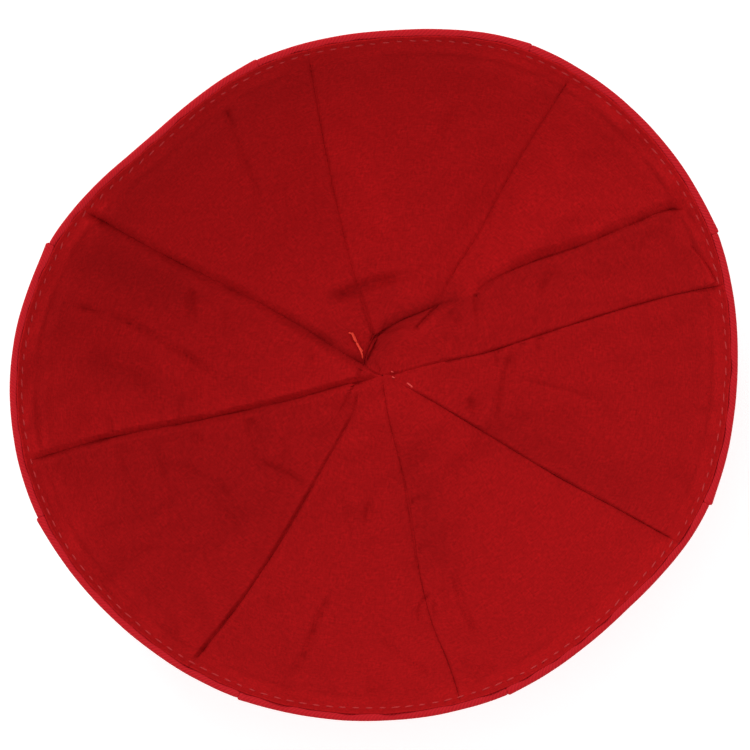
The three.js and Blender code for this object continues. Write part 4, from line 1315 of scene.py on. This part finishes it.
class SKULLCAP_OT_stitches(bpy.types.Operator):
    """Make the running stitches that fell the lining to the hem"""

    bl_idname = "skullcap.make_stitches"
    bl_label = "Make hem stitches"

    def execute(self, context):
        scene = context.scene
        sizes = scene.skullcap_stitching
        material = sewing_thread("red cotton thread", scene.skullcap_colours.hem_thread)
        settings = {"Pitch": sizes.pitch, "Length": sizes.length, "Thread": sizes.thread}
        mesh = through_nodes("hem_stitches", stitch_line(), stitch_tree(material), settings)
        finished("hem_stitches", mesh, material)
        return {"FINISHED"}


class SKULLCAP_OT_threads(bpy.types.Operator):
    """Make the tacking stitches and the loose thread at the crown"""

    bl_idname = "skullcap.make_threads"
    bl_label = "Make crown threads"

    def execute(self, context):
        scene = context.scene
        sizes, colours = scene.skullcap_stitching, scene.skullcap_colours
        tack = sewing_thread("red cotton tacking thread", colours.tacking_thread)
        loose = sewing_thread("loose orange-red thread", colours.loose_thread)
        tacks = thread_mesh("crown_tacks", TACKS, sizes.thread * 1.6)
        ends = thread_mesh("loose_thread", LOOSE_THREAD, sizes.thread * 1.8)
        finished("crown_tacks", tacks, tack)
        finished("loose_thread", ends, loose)
        return {"FINISHED"}


# ---- The stage, in metres ------------------------------------------------------------------
FLOOR_HALF = 3.0
FLOOR_LOW = -0.0001  # a hair under the cap, so that the two don't share a plane
CAMERA_DISTANCE = 2.5  # over the rim, far enough to see the bowl almost without perspective
VIEW_WIDTH = 0.18375  # at the rim
VIEW_SHIFT = 0.00037  # the view's middle stands this far right of the outline's
SENSOR_WIDTH = 36.0  # in millimetres, as the lens is
# How brightly the tent glows from the horizon, 0, to straight overhead, 1, where the camera is.
TENT_GLOW = ((0.0, 0.4), (0.3, 0.65), (0.55, 1.0), (0.8, 0.55), (1.0, 0.25))
TENT_STRENGTH = 1.42
WINDOW_HEADING, WINDOW_HEIGHT, WINDOW_DISTANCE = math.radians(118), math.radians(40), 1.6
WINDOW_SIZE, WINDOW_POWER = 0.75, 8.3


def lay_floor(scene):
    mesh = bpy.data.meshes.new("floor")
    corners = [(FLOOR_HALF * x, FLOOR_HALF * y, FLOOR_LOW) for x, y in ((-1, -1), (1, -1), (1, 1), (-1, 1))]
    mesh.from_pydata(corners, [], [(0, 1, 2, 3)])
    mesh.materials.append(white_paper())
    floor = bpy.data.objects.new("floor", mesh)
    scene.collection.objects.link(floor)


def hang_tent(scene):
    """Surrounds the cap with white cloth that glows most halfway up."""
    world = bpy.data.worlds.new("white tent")
    world.use_nodes = True
    tree = world.node_tree
    heading = add_node(tree, "ShaderNodeTexCoord")
    split = add_node(tree, "ShaderNodeSeparateXYZ", {0: heading.outputs["Generated"]})
    glow = add_node(tree, "ShaderNodeValToRGB", {"Fac": split.outputs["Z"]})
    ramp = glow.color_ramp
    for place, _ in TENT_GLOW[1:-1]:
        ramp.elements.new(place)
    for element, (place, share) in zip(ramp.elements, TENT_GLOW):
        element.position = place
        element.color = (share, share, share, 1)
    background = tree.nodes["Background"]
    tree.links.new(glow.outputs[0], background.inputs["Color"])
    background.inputs["Strength"].default_value = TENT_STRENGTH
    scene.world = world


def place_window(scene):
    """Lights the cap from the upper left with a soft round window."""
    light = bpy.data.lights.new("soft window", "AREA")
    light.shape, light.size, light.energy = "DISK", WINDOW_SIZE, WINDOW_POWER
    window = bpy.data.objects.new("soft window", light)
    level = WINDOW_DISTANCE * math.cos(WINDOW_HEIGHT)
    window.location = (
        level * math.cos(WINDOW_HEADING), level * math.sin(WINDOW_HEADING),
        WINDOW_DISTANCE * math.sin(WINDOW_HEIGHT))
    window.rotation_euler = (-window.location).to_track_quat("-Z", "Y").to_euler()
    scene.collection.objects.link(window)


def place_camera(scene):
    """Looks straight down into the cap from far above."""
    lens = bpy.data.cameras.new("camera")
    lens.sensor_width = SENSOR_WIDTH
    lens.lens = SENSOR_WIDTH * CAMERA_DISTANCE / VIEW_WIDTH
    lens.clip_end = 100
    camera = bpy.data.objects.new("camera", lens)
    camera.location = (VIEW_SHIFT, 0, CAP_DEPTH * MM + CAMERA_DISTANCE)
    scene.collection.objects.link(camera)
    scene.camera = camera


class SKULLCAP_OT_stage(bpy.types.Operator):
    """Make the floor, the soft lights and the camera"""

    bl_idname = "skullcap.make_stage"
    bl_label = "Make stage"

    def execute(self, context):
        scene = context.scene
        lay_floor(scene)
        hang_tent(scene)
        place_window(scene)
        place_camera(scene)
        scene.view_settings.view_transform = "Standard"
        return {"FINISHED"}


class SKULLCAP_PT_panel(bpy.types.Panel):
    """Lists the skullcap's sizes, colours and makers"""

    bl_label = "Skullcap"
    bl_idname = "SKULLCAP_PT_panel"
    bl_space_type = "VIEW_3D"
    bl_region_type = "UI"
    bl_category = "Skullcap"

    def draw(self, context):
        for name in GROUPS:
            box = self.layout.box()
            group = getattr(context.scene, name)
            for label in group.__annotations__:
                box.prop(group, label)
        for operator in OPERATORS:
            self.layout.operator(operator.bl_idname)


GROUPS = {
    "skullcap_cloth": SkullcapCloth,
    "skullcap_stitching": SkullcapStitching,
    "skullcap_colours": SkullcapColours,
}
OPERATORS = (
    SKULLCAP_OT_stage,
    SKULLCAP_OT_shell,
    SKULLCAP_OT_lining,
    SKULLCAP_OT_stitches,
    SKULLCAP_OT_threads,
)


def register():
    for group in GROUPS.values():
        bpy.utils.register_class(group)
    for name, group in GROUPS.items():
        setattr(bpy.types.Scene, name, bpy.props.PointerProperty(type=group))
    for operator in OPERATORS:
        bpy.utils.register_class(operator)
    bpy.utils.register_class(SKULLCAP_PT_panel)


def unregister():
    bpy.utils.unregister_class(SKULLCAP_PT_panel)
    for operator in reversed(OPERATORS):
        bpy.utils.unregister_class(operator)
    for name, group in GROUPS.items():
        delattr(bpy.types.Scene, name)
        bpy.utils.unregister_class(group)


def main():
    register()
    bpy.ops.skullcap.make_stage()
    bpy.ops.skullcap.make_shell()
    bpy.ops.skullcap.make_lining()
    bpy.ops.skullcap.make_stitches()
    bpy.ops.skullcap.make_threads()


if __name__ == "__main__":
    main()
